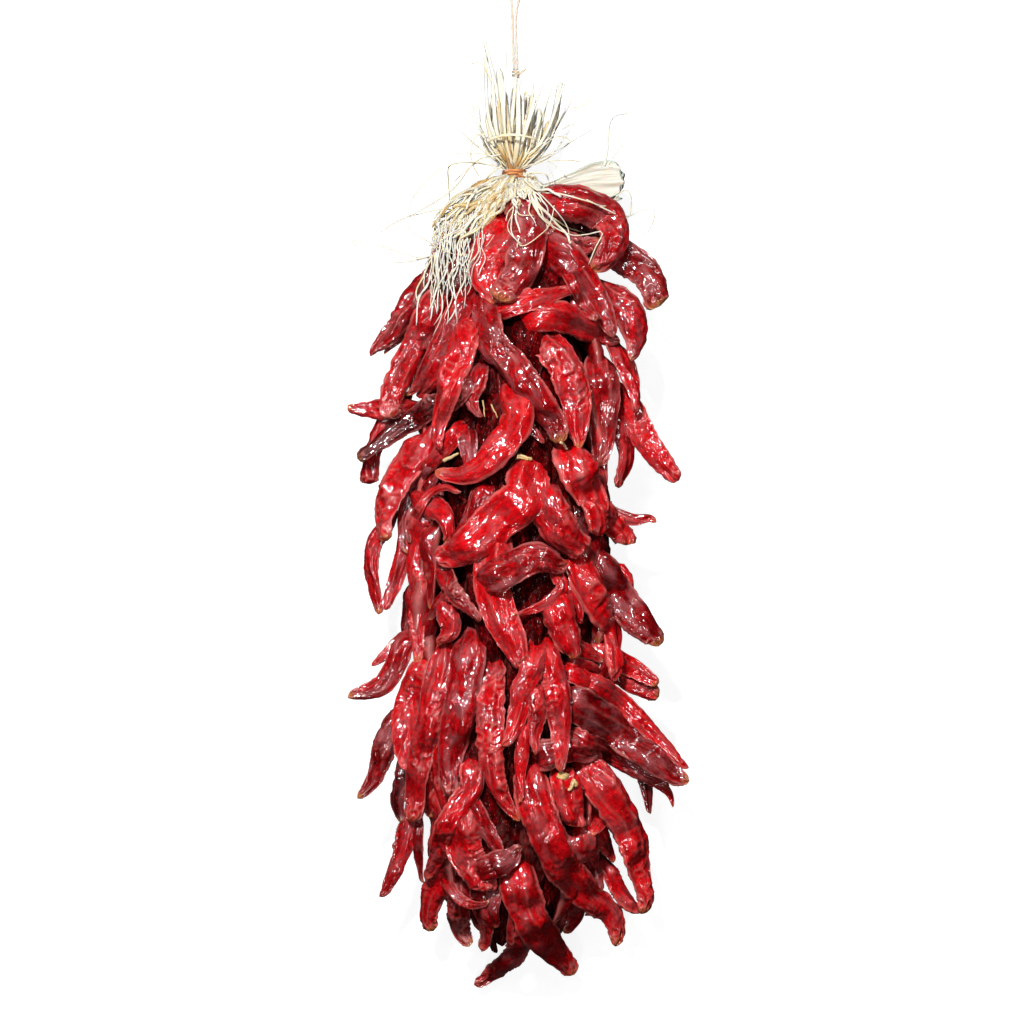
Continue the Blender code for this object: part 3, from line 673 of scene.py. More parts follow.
LOWER_PODS = (
    (((-9.6, 34.6), (-11, 34), (-12.3, 32.8), (-13.7, 31.7)), 1.3, "bright", 1, 0.0),
    (((-9.4, 34.6), (-10.6, 33.8), (-11.4, 31.6), (-12.6, 29.9), (-14.3, 29.2), (-16, 28.9)),
     2.2, "deep", 2, 0.5),
    (((-8.5, 31.5), (-9.4, 29.5), (-10.3, 27), (-10.5, 24.5), (-10.2, 21.7)), 3.0, "bright", 3, 0.5),
    (((-6.7, 33), (-7.6, 29.5), (-8, 26.5), (-8.8, 23.5), (-9.4, 20.5), (-9.5, 16.7)),
     2.7, "bright", 5, 0.5, 0.6),
    (((-4.1, 34), (-4.5, 31), (-5, 28), (-5.6, 25), (-6.1, 22), (-5.9, 19.3)), 3.3, "dusty", 4, 0.0, 0.4),
    (((-2.1, 31.8), (-2.2, 29), (-2.2, 26), (-2, 23), (-1.3, 20), (0.5, 16.9)), 2.9, "bright", 4, 0.0),
    (((-10.8, 27.0), (-12.2, 24.8), (-13, 22), (-13.6, 20.5), (-15, 18.8)), 2.2, "dusty", 2, 0.0),
    (((2.3, 33.5), (1.5, 31), (0.8, 29.5), (0.7, 28), (0.1, 26), (-0.7, 24.1)), 2.2, "bright", 5, 0.0),
    (((-3.9, 22.8), (-4, 20.3), (-5.3, 18.3), (-6.5, 16.3), (-7.1, 14), (-8.3, 11)), 2.2, "bright", 5, 0.0),
    (((-7.6, 21.3), (-8.3, 19), (-8.2, 17)), 1.2, "deep", 2, 0.0),
    (((-8.2, 26), (-8.9, 22), (-9.0, 18)), 2.8, "dark", 1, 0.0),
    (((-10.2, 22.6), (-10.6, 20.5), (-11.2, 18.5), (-10.7, 16.5)), 2.2, "dark", 1, 0.0),
    (((-3.9, 18.5), (-2.6, 16.3), (-1.4, 14), (-1.5, 13.3)), 1.7, "dusty", 3, 0.0),
    (((0.9, 26), (0.9, 24), (0.7, 21.5), (0.9, 18.8)), 1.5, "bright", 5, 0.0),
    (((2.9, 33.7), (3.9, 30.5), (4.4, 27.5), (4.6, 24.5), (4.5, 21.7)), 2.7, "bright", 5, 0.0),
    (((2, 29.8), (2.3, 27.5), (2, 25.3), (2.3, 23.4)), 1.8, "deep", 2, 0.0),
    (((5.4, 31.3), (7.2, 30.3), (9.3, 28.3), (10.8, 27)), 1.9, "bright", 3, 0.0),
    (((7.8, 30.2), (9.6, 29.0), (11.5, 27.2), (13.5, 25.2), (15.6, 23), (16.6, 21.6)), 1.8, "bright", 4, 1.5),
    (((5.6, 28.4), (7.5, 27.3), (10, 25.6), (12.3, 23.8), (14.5, 21.9), (16.9, 20.4)), 3.5, "dusty", 5, 1.0),
    (((6, 25), (9, 23.4), (12.5, 21.3), (15.2, 20.1)), 2.0, "deep", 3, 0.0),
    (((3, 23.4), (5.5, 23.8), (8, 23.1)), 2.6, "dusty", 2, 0.0),
    (((10.4, 22.6), (12.5, 21.5), (13, 19.5), (13.2, 17.3)), 2.0, "dark", 1, -1.0),
    (((11.8, 21.4), (13.6, 20.6), (15, 19.5), (15.6, 18)), 1.2, "bright", 1, 0.0),
    (((5, 20.6), (5.3, 18.5), (6, 16.4)), 3.0, "bright", 3, 0.0, 0.6),
    (((7.6, 19.4), (8.5, 17.3), (7.6, 15.4)), 1.9, "bright", 3, 0.0),
)
FOOT_PODS = (
    (((7.2, 21.7), (8.8, 19.8), (10.2, 17.5), (11.5, 14.8), (12.3, 12), (12.8, 9.5), (12.6, 7.6)),
     3.8, "bright", 5, 1.0),
    (((1.5, 21.5), (2.2, 18.5), (3.4, 15.5), (4.6, 12.8), (6.2, 10.8), (7.6, 9.2), (9.3, 7.8),
      (10, 6.4), (10.4, 4.4)),
     3.4, "bright", 5, 0.5),
    (((-9.6, 17.6), (-10.3, 15.5), (-10.8, 13.5), (-11.6, 11.5), (-12.7, 9.1)), 2.0, "deep", 2, 0.0),
    (((-9.2, 16), (-9.2, 13.5), (-8.9, 10.5)), 1.3, "dusty", 2, 0.0),
    (((-6.2, 15.6), (-6.6, 14), (-6.9, 11.5), (-7.7, 9.3), (-8.2, 7.5), (-8.1, 5.8)),
     2.8, "bright", 3, 0.0, 0.45),
    (((-5.0, 17), (-4.6, 14), (-3.6, 12), (-2.6, 10.2)), 3.6, "bright", 4, 0.0, 0.65),
    (((-1.9, 12.7), (-0.3, 13.4), (0.6, 14.6)), 2.4, "dusty", 4, 0.0),
    (((-6.2, 10.5), (-5.2, 9.3), (-3.8, 8.7), (-2.2, 8.9)), 1.3, "deep", 3, 0.0),
    (((-1.8, 9.8), (-1.9, 8.3), (-1.5, 6.5)), 1.4, "dusty", 3, 0.0),
    (((-5.1, 10), (-5.2, 7), (-4.9, 5.6), (-4.1, 4.6)), 2.3, "dusty", 1, 0.0, 0.4),
    (((-3, 9.3), (-2.7, 6.5), (-2.9, 4.4)), 2.8, "deep", 1, 0.0, 0.5),
    (((1.0, 8.5), (0.6, 6.5), (0.3, 4), (-0.8, 2.6), (-2.4, 1.2), (-3.6, 0.1)), 2.3, "dusty", 2, 0.0, 0.4),
    (((0.3, 11.8), (0.9, 9.5), (1.9, 7), (3.4, 4.7), (5, 2.8), (6.1, 1.5)), 3.6, "bright", 4, 0.6, 0.35),
    (((6.2, 9.8), (6.1, 7.3), (5, 5.7)), 2.0, "deep", 3, 0.0),
    (((6.2, 15.2), (7.4, 12), (8.6, 9.8)), 3.4, "dusty", 3, 0.0),
    (((8.1, 16.4), (8.9, 14.6), (9.8, 12.6)), 2.2, "bright", 3, 0.0),
    (((9.2, 12), (10.6, 9.3), (11.6, 8.2), (12.9, 7.9)), 2.3, "bright", 2, 0.0),
    (((7.5, 10), (7.4, 7.3)), 1.3, "dusty", 1, 0.0),
)

ROW_STEP = 0.17
POD_COLUMNS = 44
HIDDEN = 1.6  # how far a pod's stem end runs on, out of sight, under the pods above it
TUCK = 3.6  # how deep that end is tucked in
GROUND_STEP = 0.3
ground_x = np.arange(-20.0, 20.0, GROUND_STEP)
ground_y = np.arange(-4.0, 96.0, GROUND_STEP)


def side_height(x, y, radius):
    """Height of the bundle's shown side: its axis, plus 0.9 of the circle's height over x."""
    return axis_height(y) + DEPTH_RATIO * np.sqrt(np.maximum(radius**2 - x**2, 0.0))


ground = side_height(ground_x[None, :], ground_y[:, None], 0.86 * bundle_radius(ground_y)[:, None])


def ground_cells(points):
    """Row and column of the cell of the pile's grid of heights that lies nearest to each point."""
    column = ((points[..., 0] - ground_x[0]) / GROUND_STEP).round().astype(int)
    row = ((points[..., 1] - ground_y[0]) / GROUND_STEP).round().astype(int)
    return np.clip(row, 0, len(ground_y) - 1), np.clip(column, 0, len(ground_x) - 1)


def raise_ground(points):
    """The pile now reaches up to these points."""
    row, column = ground_cells(points)
    np.maximum.at(ground, (row.ravel(), column.ravel()), points[..., 2].ravel())


def settle(line, width, rise, tuck):
    """The line's heights when a strip of this width is laid on the pile along it.

    Under each point it takes halfway between the mean and the highest of the pile's heights from
    one side of the strip to the other. A bell of a tenth of the length smooths them along the line,
    and the stem end is tucked in.
    """
    count = len(line)
    direction = unit(np.gradient(line, axis=0))
    across = np.stack([-direction[:, 1], direction[:, 0]], -1)
    spread = (-0.3, -0.15, 0, 0.15, 0.3)
    mean = np.mean([ground[ground_cells(line + across * width * k)] for k in spread], axis=0)
    top = np.max([ground[ground_cells(line + across * width * k)] for k in (-0.2, 0, 0.2)], axis=0)
    under = 0.5 * mean + 0.5 * top
    place = np.arange(count)
    bell = np.exp(-(((place[:, None] - place[None, :]) / (0.1 * count)) ** 2))
    smooth = bell @ under / bell.sum(axis=1)
    share = np.linspace(0, 1, count)
    return smooth + rise - tuck * np.clip(1 - share / 0.3, 0, 1) ** 2


random = np.random.default_rng(11)


def lay_pods(groups):
    """Lays every listed pod on the pile, deep layers first and low tips before high ones, and returns
    for each group its grids, pale crests and painted highlights, nibs, tones, and dust and painted sheen."""
    order = []
    for name, pods in groups.items():
        order += [(pod[3], pod[0][-1][1], name, index) for index, pod in enumerate(pods)]
    laid = {name: [None] * len(pods) for name, pods in groups.items()}
    for layer, _, name, index in sorted(order):
        places, width, skin, _, rise, *blunt = groups[name][index]
        start = np.array(places[0])
        stem_end = start - HIDDEN * unit(np.array(places[1]) - start)
        _, length = along_curve([stem_end, *places], 2)
        line, _ = along_curve([stem_end, *places], int(length / ROW_STEP))
        share = np.linspace(0, 1, len(line))
        heading = unit(line[-1] - line[-6])
        hook = random.uniform(-0.5, 0.5) * np.clip((share - 0.9) / 0.1, 0, 1) ** 2
        line = line + hook[:, None] * np.array([-heading[1], heading[0]])
        flatness = random.uniform(0.34, 0.54)
        heights = settle(line, width, rise, TUCK) + 0.42 * flatness * width
        spine = np.column_stack([line, heights])
        lean = 0.35 * line[:, :1] / CORE_RADIUS
        up = np.concatenate([lean, 0 * lean, np.ones_like(lean)], axis=1)
        roll = random.uniform(-0.35, 0.35) + random.uniform(-0.6, 0.6) * share
        end_share = blunt[0] if blunt else random.uniform(0.14, 0.34)
        seed = int(random.integers(1, 10000))
        grid, crest_and_highlight, nib = pod_surface(spine, up, width, flatness, end_share, roll, seed, POD_COLUMNS)
        nib *= random.choice((0.0, 0.2, 0.6, 1.0))
        raise_ground(grid)
        tone, dust = SKINS[skin]
        tone += random.uniform(-0.1, 0.1)
        laid[name][index] = (grid, crest_and_highlight, nib, tone, dust)
    return laid


def pod_piece(name, pods, material):
    """The pods of one group as one piece, with the tone, the dust and painted sheen, the pale crests and
    painted highlights, and the nib of their skins.
    """
    grids, crests_and_highlights, nibs, tones, dusts_and_sheens = zip(*pods)
    attributes = {
        "tone": [tone + 0 * crest_and_highlight for tone, crest_and_highlight in zip(tones, crests_and_highlights)],
        "dust": [dust + 0 * crest_and_highlight for dust, crest_and_highlight in zip(dusts_and_sheens, crests_and_highlights)],
        "crest_and_highlight": crests_and_highlights,
        "nib": nibs,
    }
    return mesh_piece(name, grids, attributes, material)


# --- The pods of the sides and back, and the deep ones of the shown side ---------------------
# They hang round the whole string in tiers, each tier over the stem ends of the one below it. The
# lowest are pressed flat by the weight on them.

TIERS = 12
TOP_TIER = 76.0
SHOWN_ANGLE = 1.05  # how far round from the top a tier's pods belong to the shown side
TIER_STEP = 5.2
INNER_SHARE = 0.93
INNER_ROWS = 30
INNER_COLUMNS = 18
REST_GAP = 0.02


def tier_pod(root_y, angle, reach_share, length, width):
    """A pod that hangs down the bundle's side at this angle from its top."""
    share = np.linspace(0, 1, INNER_ROWS)
    y = np.maximum(root_y - length * share, 1.6)
    sway = random.uniform(-0.3, 0.3) * share
    reach = reach_share * bundle_radius(y) - 0.25 * width - 0.9 * (1 - share) ** 2
    around = angle + sway
    flatness = random.uniform(0.42, 0.6)
    height = axis_height(y) + DEPTH_RATIO * reach * np.cos(around)
    height = np.maximum(height, 0.5 * flatness * width * 0.8)  # never lower than it is thick
    spine = np.column_stack([reach * np.sin(around), y, height])
    up = np.column_stack([np.sin(around), 0 * y, np.cos(around)])
    roll = random.uniform(-0.5, 0.5) + random.uniform(-0.6, 0.6) * share
    seed = int(random.integers(1, 10000))
    grid, crest_and_highlight, nib = pod_surface(
        spine, up, width, flatness, random.uniform(0.2, 0.35), roll, seed, INNER_COLUMNS
    )
    grid[..., 2] = np.maximum(grid[..., 2], REST_GAP)
    return grid, crest_and_highlight, nib, random.uniform(0.25, 0.75), random.uniform(0.0, 0.5)


around_pods = []
deep_pods = []
for tier in range(TIERS):
    root_y = TOP_TIER - TIER_STEP * tier
    turns = 14 if tier > 2 else 11
    for turn in range(turns):
        angle = 2 * np.pi * (turn + 0.5 * (tier % 2) + random.uniform(-0.25, 0.25)) / turns
        angle = (angle + np.pi) % (2 * np.pi) - np.pi
        shown = abs(angle) < SHOWN_ANGLE
        start = root_y + random.uniform(-1.5, 1.5)
        length = min(random.uniform(11.0, 15.0), start - random.uniform(3.0, 6.0))
        width = random.uniform(2.4, 3.5)
        reach_share = random.uniform(0.72, 0.84) if shown else INNER_SHARE
        pod = tier_pod(start, angle, reach_share, length, width)
        if not shown:
            around_pods.append(pod)
        else:
            deep_pods.append(pod)
            raise_ground(pod[0])
pod_piece("pods_around", around_pods, chilli_material)
# Painted shade: the deep pods keep 0.15 of their tone and a fifth of their crests, lose their nibs and dust,
# and their skin is a copy with almost no coat, so that they read near-black in the gaps.
deep_pods = [
    (grid, 0.2 * crest_and_highlight, 0 * nib, 0.15 * tone, 0 * dust) for grid, crest_and_highlight, nib, tone, dust in deep_pods
]
shaded_material = chilli_skin("dried_chilli_shaded", 0.05)
pod_piece("pods_deep", deep_pods, shaded_material)


# --- The shown pods, tier by tier ------------------------------------------------------------
# Long red pods that hang from the core cord by their stems. Those of the shown side are placed one
# by one, and each lies on those under it.

shown_groups = {
    "pods_shoulder": SHOULDER_PODS,
    "pods_upper": UPPER_PODS,
    "pods_middle": MIDDLE_PODS,
    "pods_lower": LOWER_PODS,
    "pods_foot": FOOT_PODS,
}
for group, pods in lay_pods(shown_groups).items():
    pod_piece(group, pods, chilli_material)


# --- The raffia tuft -------------------------------------------------------------------------
# Straw-coloured strips of raffia and husk, gathered into a neck under the tie and fanned out
# above it like a brush. The longest stalks carry the hanging cord.

NECK = np.array([0.1, 79.5, 4.2])
NECK_REACH = 0.76
TUFT_FALL = 0.16  # how much the tuft drops towards the floor for each cm along it
TUFT_ROWS = 22
TUFT_FILL = 190
# Ends of the strips that stand out: x, y and width.
TUFT_STRIPS = (
    (-2.9, 93.1, 0.5), (-2.7, 91.4, 0.45), (-0.7, 92.0, 0.3), (-1.4, 89.9, 1.0), (-0.75, 87.6, 0.7),
    (-2.0, 88.9, 0.5), (-2.3, 87.6, 0.35), (0.3, 89.2, 0.5), (0.5, 88.2, 0.6), (-4.6, 86.2, 0.22),
    (-4.1, 86.5, 0.22), (-3.4, 86.5, 0.25), (-5.1, 83.8, 0.12), (1.4, 87.5, 0.7), (1.97, 88.6, 0.25),
    (2.3, 88.0, 0.15), (3.1, 88.7, 0.22), (3.9, 88.5, 0.4), (4.7, 88.6, 0.9), (5.1, 88.7, 0.35),
    (4.4, 86.7, 0.6), (6.2, 87.8, 0.2), (5.1, 86.0, 0.3), (6.0, 84.5, 0.16), (8.2, 84.2, 0.16),
    (5.6, 82.6, 0.12), (3.9, 84.1, 0.3), (2.6, 85.9, 0.6),
)


def straw(name):
    """Cream to golden strips: fine streaks along them, and gold where the attribute says, partly the straw's
    own tan and partly painted shade.
    """
    material = bpy.data.materials.new(name)
    material.use_nodes = True
    nodes = material.node_tree.nodes
    link = material.node_tree.links.new
    shader = nodes["Principled BSDF"]
    shader.inputs["Roughness"].default_value = 0.55
    shader.inputs["Specular IOR Level"].default_value = 0.2
    shader.inputs["Subsurface Weight"].default_value = 0.6
    shader.inputs["Subsurface Radius"].default_value = (1.0, 0.7, 0.4)
    shader.inputs["Subsurface Scale"].default_value = 0.003
    streaks = streaked(material, (0.5, 9.0, 1.0), 5.0, 0.5, 0.0006)
    gold_and_shade = nodes.new("ShaderNodeAttribute")
    gold_and_shade.attribute_name = "gold_and_shade"
    total = nodes.new("ShaderNodeMath")
    total.operation = "MULTIPLY_ADD"
    total.inputs[1].default_value = 0.9
    ramp = nodes.new("ShaderNodeValToRGB")
    ramp.color_ramp.elements[0].position = 0.38
    ramp.color_ramp.elements[0].color = (0.74, 0.67, 0.55, 1)
    ramp.color_ramp.elements[1].position = 1.0
    ramp.color_ramp.elements[1].color = (0.3, 0.14, 0.04, 1)
    for place, colour in ((0.6, (0.68, 0.56, 0.38, 1)), (0.82, (0.55, 0.36, 0.15, 1))):
        ramp.color_ramp.elements.new(place).color = colour
    link(streaks, total.inputs[0])
    link(gold_and_shade.outputs["Fac"], total.inputs[2])
    link(total.outputs["Value"], ramp.inputs["Fac"])
    link(ramp.outputs["Color"], shader.inputs["Base Color"])
    return material


straw_material = straw("raffia_straw")


def ribbon_grids(lines, widths, rolls, thickness, columns=6):
    """Flat strips: a thin ellipse is carried along each line, its wide way turned by the roll."""
    _, side, normal = frames_along(lines, np.array([0.03, 0.02, 1.0]))
    cosine, sine = np.cos(rolls)[..., None], np.sin(rolls)[..., None]
    wide = side * cosine + normal * sine
    tall = normal * cosine - side * sine
    angle = np.linspace(0, 2 * np.pi, columns, endpoint=False)[:, None]
    across = 0.5 * widths[..., None, None] * np.cos(angle) * wide[..., None, :]
    above = 0.5 * thickness * np.sin(angle) * tall[..., None, :]
    return lines[..., None, :] - across + above


def straw_piece(name, strips, thickness=0.05):
    """Strips that narrow by a third to their cut ends, each with its own turn and shade of straw.

    Each strip is its line, its width and how golden it is, as one number or one for each point. The
    gold is partly the straw's own tan and partly painted shade.
    """
    lines = np.stack([line for line, _, _ in strips])
    widths = [width for _, width, _ in strips]
    golds_and_shades = [gold_and_shade + 0 * line[:, 0] for line, _, gold_and_shade in strips]
    count, rows, _ = lines.shape
    share = np.linspace(0, 1, rows)
    narrowing = 1 - 0.35 * share**2 - 0.4 * np.clip((share - 0.96) / 0.04, 0, 1)
    wander = random.uniform(-1, 1, (count, 4))
    wide = np.array(widths)[:, None] * narrowing
    rolls = 0.5 * wander[:, :1] + 0.7 * wander[:, 1:2] * np.sin(5 * share + 6 * wander[:, 2:3])
    rolls = rolls * np.clip(0.12 / wide, 0.15, 1)
    grids = ribbon_grids(lines, wide, rolls, thickness)
    gold_and_shade = np.stack(golds_and_shades) + 0.12 * wander[:, 3:]
    attributes = {"gold_and_shade": gold_and_shade[..., None] + np.zeros(grids.shape[:3])}
    return mesh_piece(name, grids, attributes, straw_material)


def tuft_line(end_x, end_y, lift):
    """A strip from the neck to its end: it lies in the neck on the side it leaves by, and bends.

    lift runs from -1 at the tuft's underside to 1 at its top.
    """
    run = end_y - NECK[1]
    sideways = np.clip((end_x - NECK[0]) / (0.55 * run + 0.4), -1, 1)
    crossing = 0.65 * sideways + random.uniform(-0.3, 0.3)
    start = NECK + NECK_REACH * np.array([crossing, 0, 0.9 * lift])
    end = np.array([end_x, end_y, NECK[2] - TUFT_FALL * run + lift * 0.3 * run**0.9])
    end[2] = max(end[2], 0.15)
    middle = 0.58 * start + 0.42 * end + 0.09 * run * np.array([sideways, 0, 0.4 * lift])
    middle += random.uniform(-0.07, 0.07, 3) * run
    places = [start - (0, 0.9, 0), start + (0, 0.5, 0), middle, end]
    return along_curve(places, TUFT_ROWS)[0]


tuft_strips = []
# Near the neck the strips turn golden: partly the straw's own tan and partly painted shade for the shaded
# core of the tuft.
fade = np.linspace(0, 1, TUFT_ROWS)
for end_x, end_y, width in TUFT_STRIPS:
    line = tuft_line(end_x, end_y, random.uniform(-0.1, 0.8))
    tuft_strips.append((line, width, -0.1 + 0.35 * np.exp(-(((fade - 0.25) / 0.2) ** 2))))
for _ in range(TUFT_FILL):
    lean = np.clip(random.normal(0.1, 0.36), -0.7, 0.85)
    run = random.uniform(3.0, 9.2) * (1 - 0.4 * abs(lean - 0.1))
    lift = random.uniform(-1, 1)
    line = tuft_line(NECK[0] + run * np.sin(lean), NECK[1] + run * np.cos(lean), lift)
    width = random.choice((0.12, 0.18, 0.26, 0.36, 0.5))
    gold_and_shade = random.uniform(-0.15, 0.25) + 0.4 * np.exp(-(((fade - 0.25) / 0.22) ** 2))
    tuft_strips.append((line, width, gold_and_shade))
tuft = straw_piece("raffia_tuft", tuft_strips)
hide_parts("raffia")


# --- The raffia skirt ------------------------------------------------------------------------
# Below the tie the same strips fall over the uppermost pods: a thick mass to the left, a few to
# the right, and a net of thin threads that hangs on below the mass.

SKIRT_ROWS = 24
TIE_FOOT = 79.3
LEFT_STRIPS = 130
RIGHT_STRIPS = 8
SHORT_STRIPS = 60
NET_THREADS = 38
SKIRT_STRIPS = (
    (((0.7, 79.0), (2.4, 76.6), (4.2, 74.6), (5.4, 72.4)), 0.32),
    (((0.5, 78.9), (1.6, 77.2), (2.9, 75.2), (3.9, 73.8)), 0.3),
    (((0.9, 79.1), (2.8, 77.9), (4.6, 76.9)), 0.3),
    (((0.2, 78.6), (-0.1, 76.0), (-0.2, 73.6), (0.8, 72.3)), 0.16),
)


def skirt_line(places, rise, wander=1.0):
    """A strip laid over the pods along these places, wandering a little sideways."""
    line, _ = along_curve(places, SKIRT_ROWS)
    share = np.linspace(0, 1, SKIRT_ROWS)
    phases = random.uniform(0, 6.28, 2)
    sway = 0.2 * np.sin(8 * share + phases[0]) + 0.08 * np.sin(19 * share + phases[1])
    heading = unit(np.gradient(line, axis=0))
    sideways = np.stack([-heading[:, 1], heading[:, 0]], -1)
    line = line + sideways * (wander * sway * np.minimum(4 * share, 1))[:, None]
    return np.column_stack([line, settle(line, 0.3, rise, 0.0)])


def falling(start_x, swing, run):
    """Where a strip is that has run this far from the tie, at this angle from straight down."""
    return (start_x - run * np.sin(swing), TIE_FOOT - run * np.cos(swing))


# Each strip's gold is partly its own tone and partly painted shade, the golden shadow between the strands.
skirt_strips = []
for _ in range(LEFT_STRIPS):
    swing = random.uniform(0.35, 1.12)
    run = np.interp(swing, (0.35, 0.6, 0.85, 1.12), (4.0, 7.0, 10.0, 7.5)) * random.uniform(0.45, 1.05)
    start_x = NECK[0] - 0.75 * np.sin(swing) + random.uniform(-0.3, 0.5)
    middle = falling(start_x, swing + random.uniform(-0.25, 0.3), 0.5 * run)
    places = ((start_x, TIE_FOOT), middle, falling(start_x, swing, run))
    line = skirt_line(places, random.uniform(0.1, 1.1))
    width = random.choice((0.16, 0.24, 0.36, 0.5))
    skirt_strips.append((line, width, random.uniform(-0.1, 0.45)))
for _ in range(RIGHT_STRIPS):
    swing = random.uniform(-0.7, 0.3)
    run = random.uniform(2.0, 7.5)
    start_x = NECK[0] - 0.8 * np.sin(swing) + random.uniform(-0.2, 0.2)
    end = falling(start_x, swing, run)
    middle = (0.5 * (start_x + end[0]) + 0.25, 0.5 * (TIE_FOOT + end[1]) + 0.3)
    line = skirt_line(((start_x, TIE_FOOT), middle, end), random.uniform(0.1, 0.6))
    skirt_strips.append((line, random.uniform(0.14, 0.26), random.uniform(-0.1, 0.2)))
for _ in range(SHORT_STRIPS):
    swing = random.uniform(-1.25, 0.6)
    run = random.uniform(1.4, 3.6) * (1 - 0.25 * abs(swing))
    start_x = NECK[0] - 0.85 * np.sin(swing) + random.uniform(-0.2, 0.2)
    end = falling(start_x, swing, run)
    middle = (0.5 * (start_x + end[0]), 0.5 * (TIE_FOOT + end[1]) + 0.2)
    line = skirt_line(((start_x, TIE_FOOT), middle, end), random.uniform(0.1, 0.9))
    skirt_strips.append((line, random.uniform(0.2, 0.5), random.uniform(-0.15, 0.2)))
skirt_strips += [(skirt_line(places, 0.5), width, 0.0) for places, width in SKIRT_STRIPS]
straw_piece("raffia_skirt", skirt_strips)

net_threads = []
for share in np.arange(NET_THREADS) / (NET_THREADS - 1):
    x = -3.2 - 4.6 * share + random.uniform(-0.5, 0.5)
    y = 75.6 - 1.2 * share + random.uniform(-0.8, 0.8)
    places = [(x, y)]
    for _ in range(int(random.integers(3, 6))):
        x += random.uniform(-1.0, 0.45)
        y -= random.uniform(1.4, 2.6)
        places.append((x, y))
    line = skirt_line(places, random.uniform(0.1, 0.6))
    width = random.choice((0.1, 0.12, 0.14, 0.2))
    net_threads.append((line, width, random.uniform(-0.2, 0.1)))
straw_piece("raffia_net", net_threads)


# --- Stem bits between the pods --------------------------------------------------------------
# Here and there a dry tan stem or a scrap of its cap shows between two pods. Each is a small flat
# strip that lies on the pod under it.

STEM_BITS = (
    (((4.3, 21.5), (5.2, 21.1), (6.2, 20.4)), 0.8),
    (((5.9, 21.0), (5.6, 20.3), (5.3, 19.9)), 0.4),
    (((-2.1, 56.9), (-1.8, 56.3), (-1.5, 55.6)), 0.16),
    (((-2.9, 57.3), (-2.8, 56.5), (-2.7, 55.7)), 0.14),
    (((0.4, 51.9), (1.1, 51.8), (1.8, 51.6)), 0.5),
    (((-6.7, 51.5), (-5.9, 51.9), (-5.2, 52.2)), 0.35),
    (((4.5, 53.3), (4.9, 53.0), (5.2, 52.6)), 0.3),
)
straw_piece(
    "stem_bits", [(skirt_line(places, 0.15, 0.15), width, 0.33) for places, width in STEM_BITS], 0.12
)


# --- Loose raffia threads --------------------------------------------------------------------
# Thin, springy threads that have slipped out of the sheaf and stand off it in wide arcs.

THREADS = (
    ((-0.5, 79.8), (-3.5, 80.6), (-6, 80.4), (-8, 79.2), (-9.7, 77.2), (-10.3, 75.3), (-10, 73.9),
     (-9, 73.3), (-6.5, 71.8), (-4.5, 71.4), (-2.8, 72), (-1.8, 73.3)),
    ((-1.0, 80.0), (-1.5, 80.9), (-3, 81.4), (-5, 81.5), (-7, 81), (-8.6, 79.9)),
    ((-1.5, 80.2), (-4, 80.6), (-6.1, 80.3), (-6.3, 78.9), (-6.2, 77), (-6.5, 75.9)),
    ((-2.6, 83.4), (-3.6, 83.2), (-4.1, 81.8), (-3.9, 80.3), (-3.2, 79.1)),
    ((-1.2, 81.4), (-3.6, 80.7), (-6, 77.9), (-9.5, 75.7), (-11.5, 74.8), (-13.4, 73.5)),
    ((-5.5, 76.1), (-7.5, 76.0), (-10.8, 75.2)),
    ((-2.6, 80.9), (-4, 80.3), (-5.8, 78.7)),
    ((-1.2, 80.2), (-2, 79.6), (-4, 77.6)),
    ((-7.4, 71.2), (-9.7, 71.4), (-13, 72.5), (-15.6, 73.0), (-14.9, 72.1), (-14, 71.3)),
    ((-7.6, 71.5), (-9.8, 71.0), (-12, 70.8)),
    ((-1.4, 82.0), (-2.5, 81.5), (-3.8, 82.4), (-5.1, 83.7)),
    ((-2.0, 88.2), (-2.8, 90), (-3.4, 90.4), (-4.1, 90.3)),
    ((0.3, 78.9), (0.2, 77), (-0.2, 74), (0.3, 72.8), (1, 72.2), (2.5, 73.2), (3.5, 74.3),
     (4, 76.5), (3.9, 79), (3.4, 80.2)),
    ((0.6, 78.6), (0.6, 77), (0.5, 75.4), (2, 75.2)),
    ((0.9, 78.8), (1.2, 78), (2.2, 75.8), (3.3, 74.5), (5.5, 73.4), (7, 73.4), (8.6, 73.6),
     (7.9, 72), (7.3, 70.5)),
    ((1.0, 79.0), (2, 78), (4.3, 75.5), (5.3, 74), (5.5, 72.2)),
    ((3.6, 75.2), (5.2, 74.2), (7, 73.7)),
    ((1.0, 78.8), (2.6, 77.6), (4.6, 77.3), (7.2, 76.6), (9, 76.2), (10.3, 77.5), (11, 77.9),
     (11.5, 77.2), (11.3, 75.4), (10.5, 75.2)),
    ((7.0, 76.8), (10.5, 75.3), (12.4, 75.9), (13.6, 76.1), (13.8, 75.5), (13.3, 74.1), (12.6, 73.6)),
    ((0.9, 80.2), (3.3, 80.7), (5.5, 80.8), (6.9, 80.6)),
    ((1.0, 80.0), (3.3, 80.7), (4.5, 79.9), (5.4, 79)),
    ((1.0, 79.5), (2, 79.6), (3.2, 79.4), (3.5, 78.5), (3.3, 78.1)),
    ((1.4, 81.4), (3.6, 83), (5, 84), (6, 84.4)),
    ((1.6, 81.0), (4, 83), (5.2, 83), (5.7, 82.5)),
    ((5.9, 86.0), (6.6, 86.1), (7.7, 86.8)),
)
THREAD_ROWS = 44
thread_lines = []
